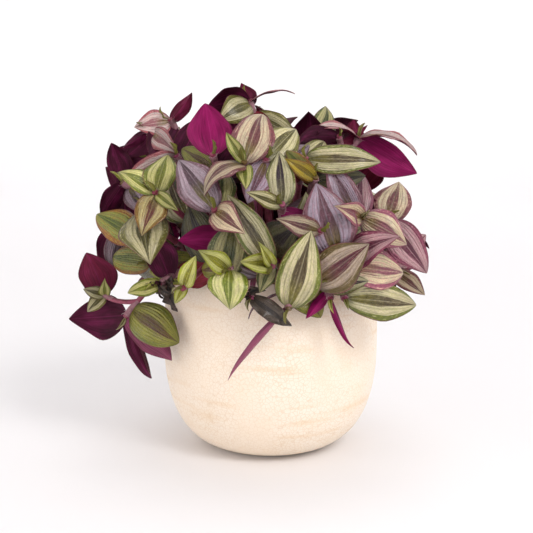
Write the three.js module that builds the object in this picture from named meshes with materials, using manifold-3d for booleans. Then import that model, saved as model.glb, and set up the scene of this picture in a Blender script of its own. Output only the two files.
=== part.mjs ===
// A potted tradescantia: a round glazed pot, the soil in it, and leafy shoots
// that stand in holes in the soil. Millimetres, +Z up, origin at the centre of
// the pot's base. The fullest side of the plant faces -Y.
//
// Each shoot is one solid: its stem, its side twigs and its leaves grow
// together. A leaf that would touch another shoot is bent clear of it.

import * as THREE from 'three';
import { mergeVertices } from 'three/addons/utils/BufferGeometryUtils.js';
import Module from 'manifold-3d';

const wasm = await Module();
wasm.setup();

// ---- driving dimensions ----

const POT_HEIGHT = 126;
const POT_RADIUS = 75;
const POT_WIDEST = 74; // height where the belly is widest
const POT_SHOULDER = 84; // height where the wall starts to close in
const POT_FOOT = 28; // radius of the flat base
const POT_RIM = 66; // outer radius of the mouth
const POT_WALL = 5;
const POT_FLOOR = 7;
const BELLY_POWER = 2.45; // 2 is an ellipse, more is squarer
const SHOULDER_POWER = 2.2;
const POT_SIDES = 32;
const OUTER_STEPS = 5; // rings from the foot to the widest place
const INNER_STEPS = 3;

const SOIL_TOP = 112;
const SOIL_CROWN = 2; // how much higher the soil is in the middle
const SOIL_SIDES = 16; // half the pot's, so that its corners keep clear
const CLEARANCE = 0.3; // between the soil and the pot
const HOLE_GAP = 0.5; // round a stem in its hole and below it

const STEM_RADIUS = 2.1;
const TWIG_RADIUS = 1.6;
const STEM_SIDES = 3;
const STEM_STEP = 19; // length of one straight stretch of stem
const CURVED_STEP = 9; // the same on a low stem or a twig, which bends more
const STEM_DEPTH = 15; // how deep a stem stands in the soil
const LOW_TIP = 146; // a stem that ends lower than this climbs over the rim first
const HIGH_TIP = 200; // a stem that ends higher than this has no inner leaf
const INNER_BACK = 36; // how far back on its stem an inner leaf grows
const HOLE_SIDES = 4;

const LEAF_THICKNESS = 0.8;
const LEAF_ROWS = [0, 0.2, 0.62, 1]; // stations from the base to the tip
const LEAF_GAP = 0.4; // least gap between two shoots
const LEAF_SHAPE = 2.16; // brings the outline's widest place to 1
const LEAF_BASE = 0.5; // less is rounder at the base
const LEAF_POINT = 0.62; // more is longer drawn out at the tip
const LEAF_CUP = 0.12; // how far the margins curl down

const DOME_CENTRE = new THREE.Vector3(-4, 0, 146);
const DOME_RADII = new THREE.Vector3(88, 82, 74);
const INNER_CENTRE = new THREE.Vector3(0, 0, 116); // inner leaves face away from here
const FRONT = new THREE.Vector3(0, -1, 0.2).normalize();
const UP = new THREE.Vector3(0, 0, 1);

const SEED = 20;

// ---- the shoots of the front, placed one by one ----
//
// root     where the stem stands in the soil, x and y
// tip      where the stem ends
// heading  the way the stem's end points: degrees round +Z from +X, degrees up
// leaves   [back, clock, toward, length, width, roll, arch, fold]
//   back    distance from the stem's tip to the leaf's base
//   clock   the way the leaf points seen from the front, counter-clockwise
//           from +X
//   toward  degrees that it points towards the front, minus for away
//   roll    turn about its own length, 180 shows the underside
//   arch    total bend from base to tip
//   fold    how steeply the two halves rise from the midrib
// twigs    side stems, each with the distance back on the main stem

const FRONT_SHOOTS = [
  {
    name: 'upper_left_rosette', root: [-36, -15], tip: [-73, -60, 182], heading: [230, 35],
    leaves: [
      [2, 80, -40, 31, 19, 0, 30, 20],
      [3, 155, -25, 35, 19, 0, 25, 25],
      [2, -32, 35, 22, 9, 0, 20, 35],
      [3, -106, 40, 32, 19, 0, 20, 25],
    ],
  },
  {
    name: 'left_face', root: [-46, -17], tip: [-83, -48, 170], heading: [215, 55],
    leaves: [
      [2, -80, 35, 44, 28, 0, 28, 12],
    ],
    twigs: [
      {
        back: 24, tip: [-87, -42, 150], heading: [205, 15],
        leaves: [
          [2, 153, -25, 38, 22, 0, 30, 12],
        ],
      },
      {
        back: 40, tip: [-80, -44, 134], heading: [210, -10],
        leaves: [
          [2, 178, -30, 35, 20, 0, 30, 12],
        ],
      },
    ],
  },
  {
    name: 'left_edge_low', root: [-54, -8], tip: [-108, -13, 154], heading: [185, 10],
    leaves: [
      [2, -110, 15, 30, 15, 170, 20, 20],
      [7, -100, 35, 30, 17, 0, 20, 15],
      [10, 100, -20, 32, 18, 180, 30, 15],
    ],
  },
  {
    name: 'left_edge', root: [-44, -1], tip: [-101, -14, 185], heading: [190, 35],
    leaves: [
      [2, -120, 20, 30, 14, 150, 20, 20],
      [4, 105, 5, 30, 15, 180, 20, 20],
      [6, -50, 40, 30, 14, 0, 20, 20],
      [14, 150, -30, 34, 18, 180, 30, 15],
    ],
  },
  {
    name: 'left_shoulder', root: [-32, 16], tip: [-84, -8, 202], heading: [190, 40],
    leaves: [
      [2, 165, 10, 24, 14, 180, 35, 20],
      [5, -98, 25, 36, 18, 180, 30, 15],
      [9, 62, -10, 32, 16, 0, 30, 20],
      [15, 205, 10, 34, 17, 180, 30, 20],
    ],
  },
  {
    name: 'low_left_dark', root: [-41, -38], tip: [-71, -63, 123], heading: [222, -20],
    leaves: [
      [2, 195, 10, 22, 11, 0, 60, 30],
      [5, -62, 25, 22, 12, 0, 50, 30],
      [9, 108, 10, 32, 18, 180, 30, 15],
      [14, 10, 15, 30, 16, 180, 30, 18],
    ],
  },
  {
    name: 'trailing_left', root: [-49, -27], tip: [-97, -37, 96], heading: [205, -50],
    leaves: [
      [2, 188, -20, 43, 26, 180, 30, 15],
      [3, -68, 15, 46, 14, 160, 70, 45],
      [7, -26, 35, 46, 26, 0, 40, 8],
      [1, -38, 15, 44, 17, 180, 20, 15],
      [5, -60, 5, 38, 16, 180, 20, 15],
    ],
    twigs: [
      {
        back: 14, tip: [-113, -30, 111], heading: [150, 30],
        leaves: [
          [2, 108, 0, 31, 22, 180, 22, 15],
          [2, 158, 20, 15, 9, 0, 30, 30],
          [2, -140, 30, 16, 10, 0, 30, 30],
          [3, 90, 30, 14, 8, 0, 30, 30],
        ],
      },
    ],
  },
  {
    name: 'lime_bud', root: [-31, -46], tip: [-54, -86, 125], heading: [240, -15],
    leaves: [
      [2, 68, 15, 22, 12, 0, 45, 35],
      [4, -122, 10, 13, 8, 0, 35, 40],
    ],
  },
  {
    name: 'centre_left', root: [-13, -30], tip: [-34, -87, 174], heading: [255, 40],
    leaves: [
      [2, 127, -30, 44, 22, 0, 30, 18],
      [3, -30, 35, 32, 18, 0, 30, 28],
      [5, 82, -35, 34, 19, 0, 25, 20],
    ],
  },
  {
    name: 'centre_shade', root: [-24, -35], tip: [-23, -87, 164], heading: [275, 35],
    leaves: [
      [2, -98, 2, 36, 22, 0, 45, 5],
      [20, 178, 10, 34, 16, 180, 25, 15],
    ],
    twigs: [
      {
        back: 42, tip: [-25, -97, 138], heading: [258, -5],
        leaves: [
          [2, -92, 18, 24, 21, 0, 115, 5],
          [3, 145, 25, 24, 14, 0, 25, 38],
          [9, 217, -10, 26, 15, 0, 25, 20],
          [14, -20, 10, 20, 10, 60, 25, 25],
        ],
      },
    ],
  },
  {
    name: 'crown_rosette', root: [-9, -17], tip: [-16, -77, 202], heading: [262, 50],
    leaves: [
      [2, 73, -35, 41, 23, 0, 30, 15],
      [2, 124, -10, 22, 11, 0, 20, 48],
      [4, 212, 25, 33, 18, 45, 95, 12],
      [3, -88, 45, 20, 10, 0, 20, 25],
    ],
  },
  {
    name: 'purple_back', root: [-21, -20], tip: [-36, -64, 206], heading: [250, 55],
    leaves: [
      [2, 98, -30, 38, 24, 180, 25, 12],
      [14, 150, -30, 32, 14, 0, 25, 20],
      [20, 60, -25, 34, 18, 180, 25, 15],
    ],
  },
  {
    name: 'top', root: [-9, -4], tip: [-14, -6, 240], heading: [200, 75],
    leaves: [
      [2, 190, 15, 32, 22, 140, 60, 12],
      [3, 208, 35, 28, 18, 0, 55, 12],
      [2, 12, 10, 31, 10, -80, 55, 20],
      [5, 112, -20, 18, 12, 180, 25, 20],
      [8, -60, 50, 32, 14, 180, 25, 25],
      [12, -20, 20, 34, 16, 0, 35, 20],
    ],
  },
  {
    name: 'upper_left_tuft', root: [-27, 5], tip: [-68, -10, 227], heading: [195, 60],
    leaves: [
      [2, 50, 0, 24, 11, 180, 25, 38],
      [2, 192, 15, 25, 16, 0, 40, 18],
      [5, -120, 45, 34, 19, 180, 22, 12],
    ],
    twigs: [
      {
        back: 26, tip: [-84, -14, 220], heading: [190, 30],
        leaves: [
          [2, 215, 10, 20, 9, 180, 40, 45],
          [4, -35, 30, 30, 15, 0, 30, 32],
          [6, 218, -10, 26, 13, 180, 22, 18],
        ],
      },
    ],
  },
  {
    name: 'upper_left_shade', root: [-31, -6], tip: [-62, -34, 204], heading: [215, 50],
    leaves: [
      [2, 205, 10, 36, 16, 0, 30, 32],
      [4, 60, -25, 34, 18, 180, 25, 20],
      [8, -70, 30, 36, 18, 0, 30, 20],
    ],
  },
  {
    name: 'upper_middle', root: [3, -22], tip: [-3, -70, 204], heading: [275, 50],
    leaves: [
      [2, 45, -30, 36, 21, 0, 30, 14],
      [3, -114, 40, 32, 18, 0, 30, 18],
      [18, 38, -20, 38, 17, 0, 30, 22],
    ],
  },
  {
    name: 'centre_right', root: [7, -34], tip: [7, -87, 177], heading: [272, 38],
    leaves: [
      [2, 92, -30, 37, 17, 0, 18, 22],
      [5, 86, -15, 30, 14, 0, 22, 24],
      [2, 160, 25, 25, 10, 0, 22, 35],
      [8, -28, 20, 26, 12, 180, 22, 15],
    ],
  },
  {
    name: 'yellowing', root: [16, -23], tip: [28, -68, 192], heading: [290, 45],
    leaves: [
      [2, 143, 15, 24, 11, 0, 35, 35],
      [5, 132, -10, 26, 13, 0, 30, 20],
      [9, 10, 10, 34, 16, 0, 30, 18],
    ],
  },
  {
    name: 'centre_long', root: [0, -46], tip: [1, -98, 141], heading: [272, 5],
    leaves: [
      [2, 121, -5, 50, 17, 0, 30, 22],
      [3, 168, 30, 22, 14, 0, 35, 38],
      [2, 122, 20, 20, 10, 0, 22, 48],
      [10, -112, 25, 20, 11, 0, 30, 18],
    ],
  },
  {
    name: 'big_right', root: [18, -43], tip: [30, -90, 162], heading: [285, 45],
    leaves: [
      [2, 164, 25, 29, 13, 0, 30, 28],
      [26, 94, 5, 36, 18, 0, 22, 18],
    ],
    twigs: [
      {
        back: 20, tip: [42, -86, 146], heading: [310, 15],
        leaves: [
          [2, 107, 5, 45, 29, 0, 32, 12],
          [5, 166, 38, 29, 18, 180, 45, 8],
        ],
      },
    ],
  },
  {
    name: 'low_centre_right', root: [10, -54], tip: [11, -93, 113], heading: [268, -60],
    leaves: [
      [2, 72, 12, 50, 25, 0, 20, 22],
      [3, -130, 12, 58, 9, 165, 25, 48],
      [14, 208, 5, 30, 10, 90, 25, 25],
    ],
    twigs: [
      {
        back: 16, tip: [28, -91, 128], heading: [335, 5],
        leaves: [
          [2, 38, 5, 42, 25, 0, 22, 18],
        ],
      },
    ],
  },
  {
    name: 'dried', root: [-8, -55], tip: [-12, -90, 119], heading: [262, -50],
    leaves: [
      [2, -38, -5, 31, 14, 0, 60, 25],
    ],
  },
  {
    name: 'hanging_right', root: [27, -48], tip: [37, -86, 118], heading: [300, -60],
    leaves: [
      [2, -70, 12, 34, 9, 170, 35, 48],
      [6, 232, 15, 22, 8, 180, 25, 38],
      [9, 12, 12, 26, 12, 0, 35, 25],
    ],
  },
  {
    name: 'right_rosette', root: [27, -30], tip: [57, -76, 168], heading: [300, 35],
    leaves: [
      [2, 152, 40, 30, 16, 0, 22, 42],
      [2, -48, 40, 32, 21, 0, 55, 12],
      [6, 118, -10, 43, 17, 0, 18, 24],
      [10, 82, -30, 38, 17, 0, 20, 20],
    ],
  },
  {
    name: 'right_round', root: [41, -21], tip: [76, -56, 164], heading: [325, 30],
    leaves: [
      [3, 70, -20, 29, 21, 0, 35, 10],
      [3, -52, 10, 42, 21, 0, 25, 18],
      [9, 130, 10, 34, 16, 180, 25, 20],
    ],
  },
  {
    name: 'right_low', root: [35, -38], tip: [49, -84, 138], heading: [300, 5],
    leaves: [
      [2, -12, -25, 42, 22, 0, 28, 16],
      [14, -8, 20, 44, 20, 0, 20, 22],
    ],
  },
  {
    name: 'right_under', root: [45, -32], tip: [46, -82, 117], heading: [290, -40],
    leaves: [
      [2, -9, -20, 52, 22, 0, 22, 20],
      [7, -20, -28, 52, 20, 0, 25, 16],
    ],
  },
  {
    name: 'right_edge_low', root: [53, -16], tip: [84, -32, 126], heading: [335, -10],
    leaves: [
      [2, -38, 20, 26, 14, 0, 25, 35],
      [8, 35, -10, 36, 19, 0, 30, 18],
      [14, -75, 30, 30, 16, 180, 30, 18],
    ],
  },
  {
    name: 'right_long', root: [14, -11], tip: [22, -64, 204], heading: [285, 50],
    leaves: [
      [2, -10, 5, 47, 17, 0, 40, 18],
      [10, 168, 0, 28, 15, 180, 25, 18],
      [16, 60, -25, 36, 18, 0, 30, 20],
    ],
  },
  {
    name: 'top_right', root: [24, -1], tip: [60, -12, 215], heading: [350, 55],
    leaves: [
      [2, 170, 20, 34, 14, 60, 60, 28],
      [2, -14, 10, 41, 14, -60, 70, 28],
      [3, -29, 10, 46, 23, 165, 40, 15],
      [8, 88, -20, 19, 13, 180, 22, 20],
      [13, 150, 30, 32, 16, 180, 30, 22],
    ],
    twigs: [
      {
        back: 22, tip: [45, -24, 216], heading: [250, 40],
        leaves: [
          [2, 176, 20, 34, 13, 150, 60, 28],
          [6, 42, -25, 26, 10, 180, 22, 38],
        ],
      },
    ],
  },
];

// ---- the shoots of the back, sides and top, placed by a rule ----

// each ring: degrees above the soil, first and last bearing round +Z, shoots
const RINGS = [
  { rise: 2, first: 4, last: 176, count: 7 },
  { rise: 30, first: 12, last: 158, count: 5 },
  { rise: 58, first: 30, last: 150, count: 3 },
  { rise: 68, first: 0, last: 120, count: 2 },
  { rise: 80, first: 60, last: 60, count: 1 },
];
const ROOT_REACH = 54; // how far from the middle the lowest ring is rooted
const RING_LEAVES = 6;
const GOLDEN_ANGLE = 137.5;

// ways a leaf is bent clear of other shoots: degrees that its tip is lifted,
// swung sideways and rolled, tried in this order at each length
const BENDS = [
  [0, 0, 0],
  [8, 0, 0], [-8, 0, 0], [0, 8, 0], [0, -8, 0], [0, 0, 20], [0, 0, -20],
  [16, 0, 0], [-16, 0, 0], [0, 16, 0], [0, -16, 0], [0, 0, 40], [0, 0, -40],
  [12, 12, 0], [12, -12, 0], [-12, 12, 0], [-12, -12, 0],
  [26, 0, 0], [-26, 0, 0], [0, 26, 0], [0, -26, 0],
  [26, 26, 0], [26, -26, 0], [-26, 26, 0], [-26, -26, 0],
  [40, 0, 0], [-40, 0, 0], [0, 40, 0], [0, -40, 0],
];
const LENGTH_SHARES = [1, 0.88, 0.76, 0.64];

// ---- solids ----

function solidFrom(positions, triangles) {
  const geometry = new THREE.BufferGeometry();
  geometry.setAttribute('position', new THREE.Float32BufferAttribute(positions, 3));
  geometry.setIndex(triangles);
  const merged = mergeVertices(geometry, 1e-4);
  const index = merged.index.array;
  const kept = [];
  for (let i = 0; i < index.length; i += 3) {
    const [a, b, c] = [index[i], index[i + 1], index[i + 2]];
    if (a !== b && b !== c && c !== a) {
      kept.push(a, b, c);
    }
  }
  return new wasm.Manifold(new wasm.Mesh({
    numProp: 3,
    vertProperties: new Float32Array(merged.attributes.position.array),
    triVerts: new Uint32Array(kept),
  }));
}

function solidOf(geometry) {
  const count = geometry.attributes.position.count;
  const index = geometry.index ? [...geometry.index.array] : [...Array(count).keys()];
  return solidFrom([...geometry.attributes.position.array], index);
}

function meshOf(name, solid, material) {
  const { vertProperties, triVerts } = solid.getMesh();
  const geometry = new THREE.BufferGeometry();
  geometry.setAttribute('position', new THREE.BufferAttribute(vertProperties, 3));
  geometry.setIndex(new THREE.BufferAttribute(triVerts, 1));
  geometry.computeVertexNormals();
  const mesh = new THREE.Mesh(geometry, material);
  mesh.name = name;
  return mesh;
}

function joined(solids) {
  return solids.reduce((all, one) => all.add(one));
}

// ---- the pot and the soil ----

// outer radius of the pot at a height, with the wall moved in by an inset
function potRadius(z, inset = 0) {
  if (z <= POT_WIDEST) {
    const floor = inset > 0 ? POT_FLOOR : 0;
    const drop = Math.min(1, (POT_WIDEST - z) / (POT_WIDEST - floor));
    const belly = POT_RADIUS - inset - POT_FOOT;
    return POT_FOOT + belly * (1 - drop ** BELLY_POWER) ** (1 / BELLY_POWER);
  }
  const climb = Math.max(0, z - POT_SHOULDER) / (POT_HEIGHT - POT_SHOULDER);
  return POT_RADIUS - inset - (POT_RADIUS - POT_RIM) * climb ** SHOULDER_POWER;
}

// heights of the wall's rings, closer together where the belly turns under
function wallHeights(bottom, top, bellySteps) {
  const heights = [];
  for (let i = 1; i <= bellySteps; i += 1) {
    heights.push(bottom + (POT_WIDEST - bottom) * (1 - Math.cos((i / bellySteps) * Math.PI / 2)));
  }
  heights.push(POT_SHOULDER, (POT_SHOULDER + SOIL_TOP) / 2, SOIL_TOP);
  return heights.filter((z) => z < top).concat(top);
}

function pot() {
  const lip = POT_WALL / 2;
  const lipHeight = POT_HEIGHT - lip;
  const profile = [new THREE.Vector2(0, 0), new THREE.Vector2(POT_FOOT, 0)];
  for (const z of wallHeights(0, lipHeight, OUTER_STEPS)) {
    profile.push(new THREE.Vector2(potRadius(z), z));
  }
  const lipMiddle = potRadius(lipHeight) - lip;
  for (const angle of [60, 120]) {
    const turn = THREE.MathUtils.degToRad(angle);
    profile.push(new THREE.Vector2(lipMiddle + lip * Math.cos(turn), lipHeight + lip * Math.sin(turn)));
  }
  for (const z of wallHeights(POT_FLOOR, lipHeight, INNER_STEPS).reverse()) {
    profile.push(new THREE.Vector2(potRadius(z, POT_WALL), z));
  }
  profile.push(new THREE.Vector2(POT_FOOT, POT_FLOOR), new THREE.Vector2(0, POT_FLOOR));
  const body = new THREE.LatheGeometry(profile, POT_SIDES);
  return solidOf(body.rotateX(Math.PI / 2));
}

// the soil follows the inside of the pot, ring by ring
function soilBody() {
  const profile = [new THREE.Vector2(0, POT_FLOOR + CLEARANCE)];
  profile.push(new THREE.Vector2(POT_FOOT - CLEARANCE, POT_FLOOR + CLEARANCE));
  for (const z of wallHeights(POT_FLOOR, SOIL_TOP, INNER_STEPS)) {
    profile.push(new THREE.Vector2(potRadius(z, POT_WALL + CLEARANCE), z));
  }
  profile.push(new THREE.Vector2(POT_RIM / 2, SOIL_TOP + SOIL_CROWN / 2));
  profile.push(new THREE.Vector2(0, SOIL_TOP + SOIL_CROWN));
  const body = new THREE.LatheGeometry(profile, SOIL_SIDES);
  return solidOf(body.rotateX(Math.PI / 2));
}

function soil(roots) {
  const apothem = STEM_RADIUS + HOLE_GAP;
  const radius = apothem / Math.cos(Math.PI / HOLE_SIDES);
  const depth = STEM_DEPTH + HOLE_GAP + 6;
  const holes = roots.map(([x, y]) => {
    const drill = new THREE.CylinderGeometry(radius, radius, depth, HOLE_SIDES);
    drill.rotateX(Math.PI / 2);
    drill.translate(x, y, SOIL_TOP - STEM_DEPTH - HOLE_GAP + depth / 2);
    return solidOf(drill);
  });
  return soilBody().subtract(joined(holes));
}

// ---- stems ----

// a direction from its bearing round +Z and its rise, in degrees
function bearing(turn, rise) {
  const a = THREE.MathUtils.degToRad(turn);
  const e = THREE.MathUtils.degToRad(rise);
  return new THREE.Vector3(Math.cos(a) * Math.cos(e), Math.sin(a) * Math.cos(e), Math.sin(e));
}

function stemCurve(root, tip, heading) {
  const foot = new THREE.Vector3(root[0], root[1], SOIL_TOP - STEM_DEPTH);
  const start = new THREE.Vector3(root[0], root[1], SOIL_TOP + SOIL_CROWN + 1);
  const end = new THREE.Vector3(...tip);
  const span = start.distanceTo(end);
  const curve = new THREE.CurvePath();
  curve.add(new THREE.LineCurve3(foot, start));
  curve.add(new THREE.CubicBezierCurve3(
    start,
    start.clone().addScaledVector(UP, (end.z < LOW_TIP ? 0.8 : 0.35) * span),
    end.clone().addScaledVector(bearing(...heading), -0.4 * span),
    end,
  ));
  return curve;
}

function twigCurve(parentCorners, twig) {
  const start = pointBack(parentCorners, twig.back);
  const end = new THREE.Vector3(...twig.tip);
  const span = start.distanceTo(end);
  const middle = end.clone().addScaledVector(bearing(...twig.heading), -0.5 * span);
  return new THREE.QuadraticBezierCurve3(start, middle, end);
}

// a stem: its corners along the curve, and its solid
function stem(curve, radius, step) {
  const steps = Math.max(2, Math.round(curve.getLength() / step));
  return { corners: curve.getSpacedPoints(steps), solid: tube(curve, radius, steps) };
}

// the point a distance back from the end of a stem, on its straight stretches
function pointBack(corners, back) {
  let left = back;
  for (let i = corners.length - 1; i > 0; i -= 1) {
    const stretch = corners[i].distanceTo(corners[i - 1]);
    if (left <= stretch) {
      return corners[i].clone().lerp(corners[i - 1], left / stretch);
    }
    left -= stretch;
  }
  return corners[0].clone();
}

function tube(curve, radius, steps) {
  const section = new THREE.Shape();
  for (let i = 0; i < STEM_SIDES; i += 1) {
    const angle = (i / STEM_SIDES) * 2 * Math.PI;
    const corner = [radius * Math.cos(angle), radius * Math.sin(angle)];
    if (i === 0) {
      section.moveTo(...corner);
    } else {
      section.lineTo(...corner);
    }
  }
  const shape = { steps, bevelEnabled: false, extrudePath: curve };
  return solidOf(new THREE.ExtrudeGeometry(section, shape));
}

// ---- leaves ----

// a leaf's own axes: along its chord, out of its upper face, and sideways
function leafAxes(along, face, roll) {
  const chord = along.clone().normalize();
  const normal = face.clone().addScaledVector(chord, -face.dot(chord)).normalize();
  normal.applyAxisAngle(chord, THREE.MathUtils.degToRad(roll));
  return { chord, normal, side: normal.clone().cross(chord) };
}

function bentAxes(axes, [lift, swing, roll]) {
  const radians = THREE.MathUtils.degToRad;
  const chord = axes.chord.clone().applyAxisAngle(axes.side, -radians(lift));
  const lifted = axes.normal.clone().applyAxisAngle(axes.side, -radians(lift));
  chord.applyAxisAngle(lifted, radians(swing));
  const normal = lifted.applyAxisAngle(chord, radians(roll));
  return { chord, normal, side: normal.clone().cross(chord) };
}

function leafWidth(s) {
  return LEAF_SHAPE * s ** LEAF_BASE * (1 - s) ** LEAF_POINT;
}

// the leaf's middle surface: s runs from base to tip, t from margin to margin
function leafPoint(leaf, axes, length, s, t) {
  const half = Math.max(0.01, THREE.MathUtils.degToRad(leaf.arch) / 2);
  const fold = THREE.MathUtils.degToRad(leaf.fold);
  const slope = half - 2 * half * s;
  const scale = length / (2 * Math.sin(half));
  const forward = (Math.sin(half) - Math.sin(slope)) * scale;
  const rise = (Math.cos(slope) - Math.cos(half)) * scale;
  const reach = (leaf.width / 2) * leafWidth(s);
  const across = reach * t * Math.cos(fold);
  const lift = reach * (Math.abs(t) * Math.sin(fold) - LEAF_CUP * t * t);
  const normal = axes.chord.clone().multiplyScalar(-Math.sin(slope));
  normal.addScaledVector(axes.normal, Math.cos(slope));
  const point = leaf.base.clone().addScaledVector(axes.chord, forward);
  point.addScaledVector(axes.normal, rise).addScaledVector(axes.side, across);
  point.addScaledVector(normal, lift);
  return { point, normal };
}

// a blade: the middle surface thickened, both faces split into triangles alike
function bladeSolid(leaf, axes, length) {
  const grid = new THREE.PlaneGeometry(2, 1, 2, LEAF_ROWS.length - 1);
  const spots = grid.attributes.position;
  const fold = THREE.MathUtils.degToRad(leaf.fold);
  const half = LEAF_THICKNESS / 2 / Math.cos(fold);
  const upper = [];
  const under = [];
  for (let i = 0; i < spots.count; i += 1) {
    const row = Math.floor(i / 3);
    const s = LEAF_ROWS[row];
    const t = s === 0 || s === 1 ? 0 : spots.getX(i);
    const { point, normal } = leafPoint(leaf, axes, length, s, t);
    upper.push(...point.clone().addScaledVector(normal, half).toArray());
    under.push(...point.addScaledVector(normal, -half).toArray());
  }
  const top = [...grid.index.array];
  const triangles = [...top];
  const edges = new Set();
  for (let i = 0; i < top.length; i += 3) {
    const [a, b, c] = [top[i], top[i + 1], top[i + 2]];
    triangles.push(a + spots.count, c + spots.count, b + spots.count);
    edges.add(`${a},${b}`).add(`${b},${c}`).add(`${c},${a}`);
  }
  for (const edge of edges) {
    const [a, b] = edge.split(',').map(Number);
    if (!edges.has(`${b},${a}`)) {
      triangles.push(b, a, a + spots.count, b, a + spots.count, b + spots.count);
    }
  }
  return solidFrom([...upper, ...under], triangles);
}

// ---- building the shoots ----

const placed = [];

function boxesMeet(one, other, margin) {
  for (let axis = 0; axis < 3; axis += 1) {
    if (one.min[axis] > other.max[axis] + margin || other.min[axis] > one.max[axis] + margin) {
      return false;
    }
  }
  return true;
}

function isClear(solid, ownNode) {
  const box = solid.boundingBox();
  return placed.every((piece) => piece.node === ownNode
    || !boxesMeet(box, piece.box, LEAF_GAP)
    || solid.minGap(piece.solid, LEAF_GAP * 2) >= LEAF_GAP);
}

function crossesOwn(solid, ownNode) {
  const box = solid.boundingBox();
  return placed.some((piece) => piece.node === ownNode && piece.isLeaf
    && boxesMeet(box, piece.box, 0)
    && solid.intersect(piece.solid).volume() > 2);
}

function place(node, solid, isLeaf = false) {
  placed.push({ node, solid, isLeaf, box: solid.boundingBox() });
}

// a leaf in the first way that is clear and crosses no leaf of its own shoot,
// or else in the first that is clear; where there is none it isn't grown
function growLeaf(node, leaf) {
  let crossing = null;
  for (const share of LENGTH_SHARES) {
    for (const bend of BENDS) {
      const solid = bladeSolid(leaf, bentAxes(leaf.axes, bend), leaf.length * share);
      if (!isClear(solid, node)) {
        continue;
      }
      if (!crossesOwn(solid, node)) {
        place(node, solid, true);
        return;
      }
      crossing ??= solid;
    }
  }
  if (crossing) {
    place(node, crossing, true);
  }
}

// the direction of a leaf that is placed by the way it looks from the front
function frontDirection(clock, toward) {
  const a = THREE.MathUtils.degToRad(clock);
  const e = THREE.MathUtils.degToRad(toward);
  return new THREE.Vector3(Math.cos(a) * Math.cos(e), -Math.sin(e), Math.sin(a) * Math.cos(e));
}

function frontLeaf(corners, [back, clock, toward, length, width, roll, arch, fold]) {
  const axes = leafAxes(frontDirection(clock, toward), FRONT, roll);
  return { base: pointBack(corners, back), axes, length, width, arch, fold };
}

let state = SEED;
function draw(low, high) {
  state = (state * 1664525 + 1013904223) % 4294967296;
  return low + (high - low) * (state / 4294967296);
}

// leaves wound round the end of a shoot, opening wider and larger further back
function ringLeaves(corners, heading) {
  const leaves = [];
  const sideways = heading.clone().cross(UP).normalize();
  const start = draw(0, 360);
  for (let i = 0; i < RING_LEAVES; i += 1) {
    const turn = THREE.MathUtils.degToRad(start + i * GOLDEN_ANGLE + draw(-15, 15));
    const opening = THREE.MathUtils.degToRad(38 + 11 * i + draw(-6, 6));
    const spread = sideways.clone().applyAxisAngle(heading, turn);
    const along = heading.clone().multiplyScalar(Math.cos(opening));
    along.addScaledVector(spread, Math.sin(opening));
    leaves.push({
      base: pointBack(corners, 2 + 6 * i + 0.4 * i * i),
      axes: leafAxes(along, heading, draw(-15, 15)),
      length: 31 + 2.8 * i + draw(-3, 4),
      width: 18 + 1.4 * i + draw(-1, 3),
      arch: draw(25, 60),
      fold: draw(8, 26),
    });
  }
  return leaves;
}

// a leaf lower on a front shoot, which faces outwards and closes the plant
// behind the outer ones
function innerLeaves(corners) {
  if (corners.at(-1).z > HIGH_TIP) {
    return [];
  }
  const base = pointBack(corners, INNER_BACK);
  const out = base.clone().sub(INNER_CENTRE).normalize();
  const turn = THREE.MathUtils.degToRad(draw(0, 360));
  const along = out.clone().cross(UP).normalize().applyAxisAngle(out, turn);
  return [{
    base,
    axes: leafAxes(along.addScaledVector(out, 0.4), out, draw(-25, 25)),
    length: draw(34, 42),
    width: draw(20, 25),
    arch: draw(25, 50),
    fold: draw(8, 22),
  }];
}

function ringShoots() {
  const shoots = [];
  for (const ring of RINGS) {
    for (let i = 0; i < ring.count; i += 1) {
      const share = ring.count > 1 ? i / (ring.count - 1) : 0;
      const turn = ring.first + (ring.last - ring.first) * share;
      const rise = ring.rise + draw(-5, 5);
      const out = bearing(turn + draw(-5, 5), rise);
      const tip = out.clone().multiply(DOME_RADII).multiplyScalar(draw(0.9, 1.02));
      tip.add(DOME_CENTRE);
      const reach = ROOT_REACH * Math.cos(THREE.MathUtils.degToRad(ring.rise)) ** 1.5;
      const root = bearing(turn, 0).multiplyScalar(reach);
      shoots.push({
        name: `back_${String(shoots.length + 1).padStart(2, '0')}`,
        root: [root.x, root.y],
        tip: tip.toArray(),
        heading: [turn, rise * 0.7 + 15],
      });
    }
  }
  return shoots;
}

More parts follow.
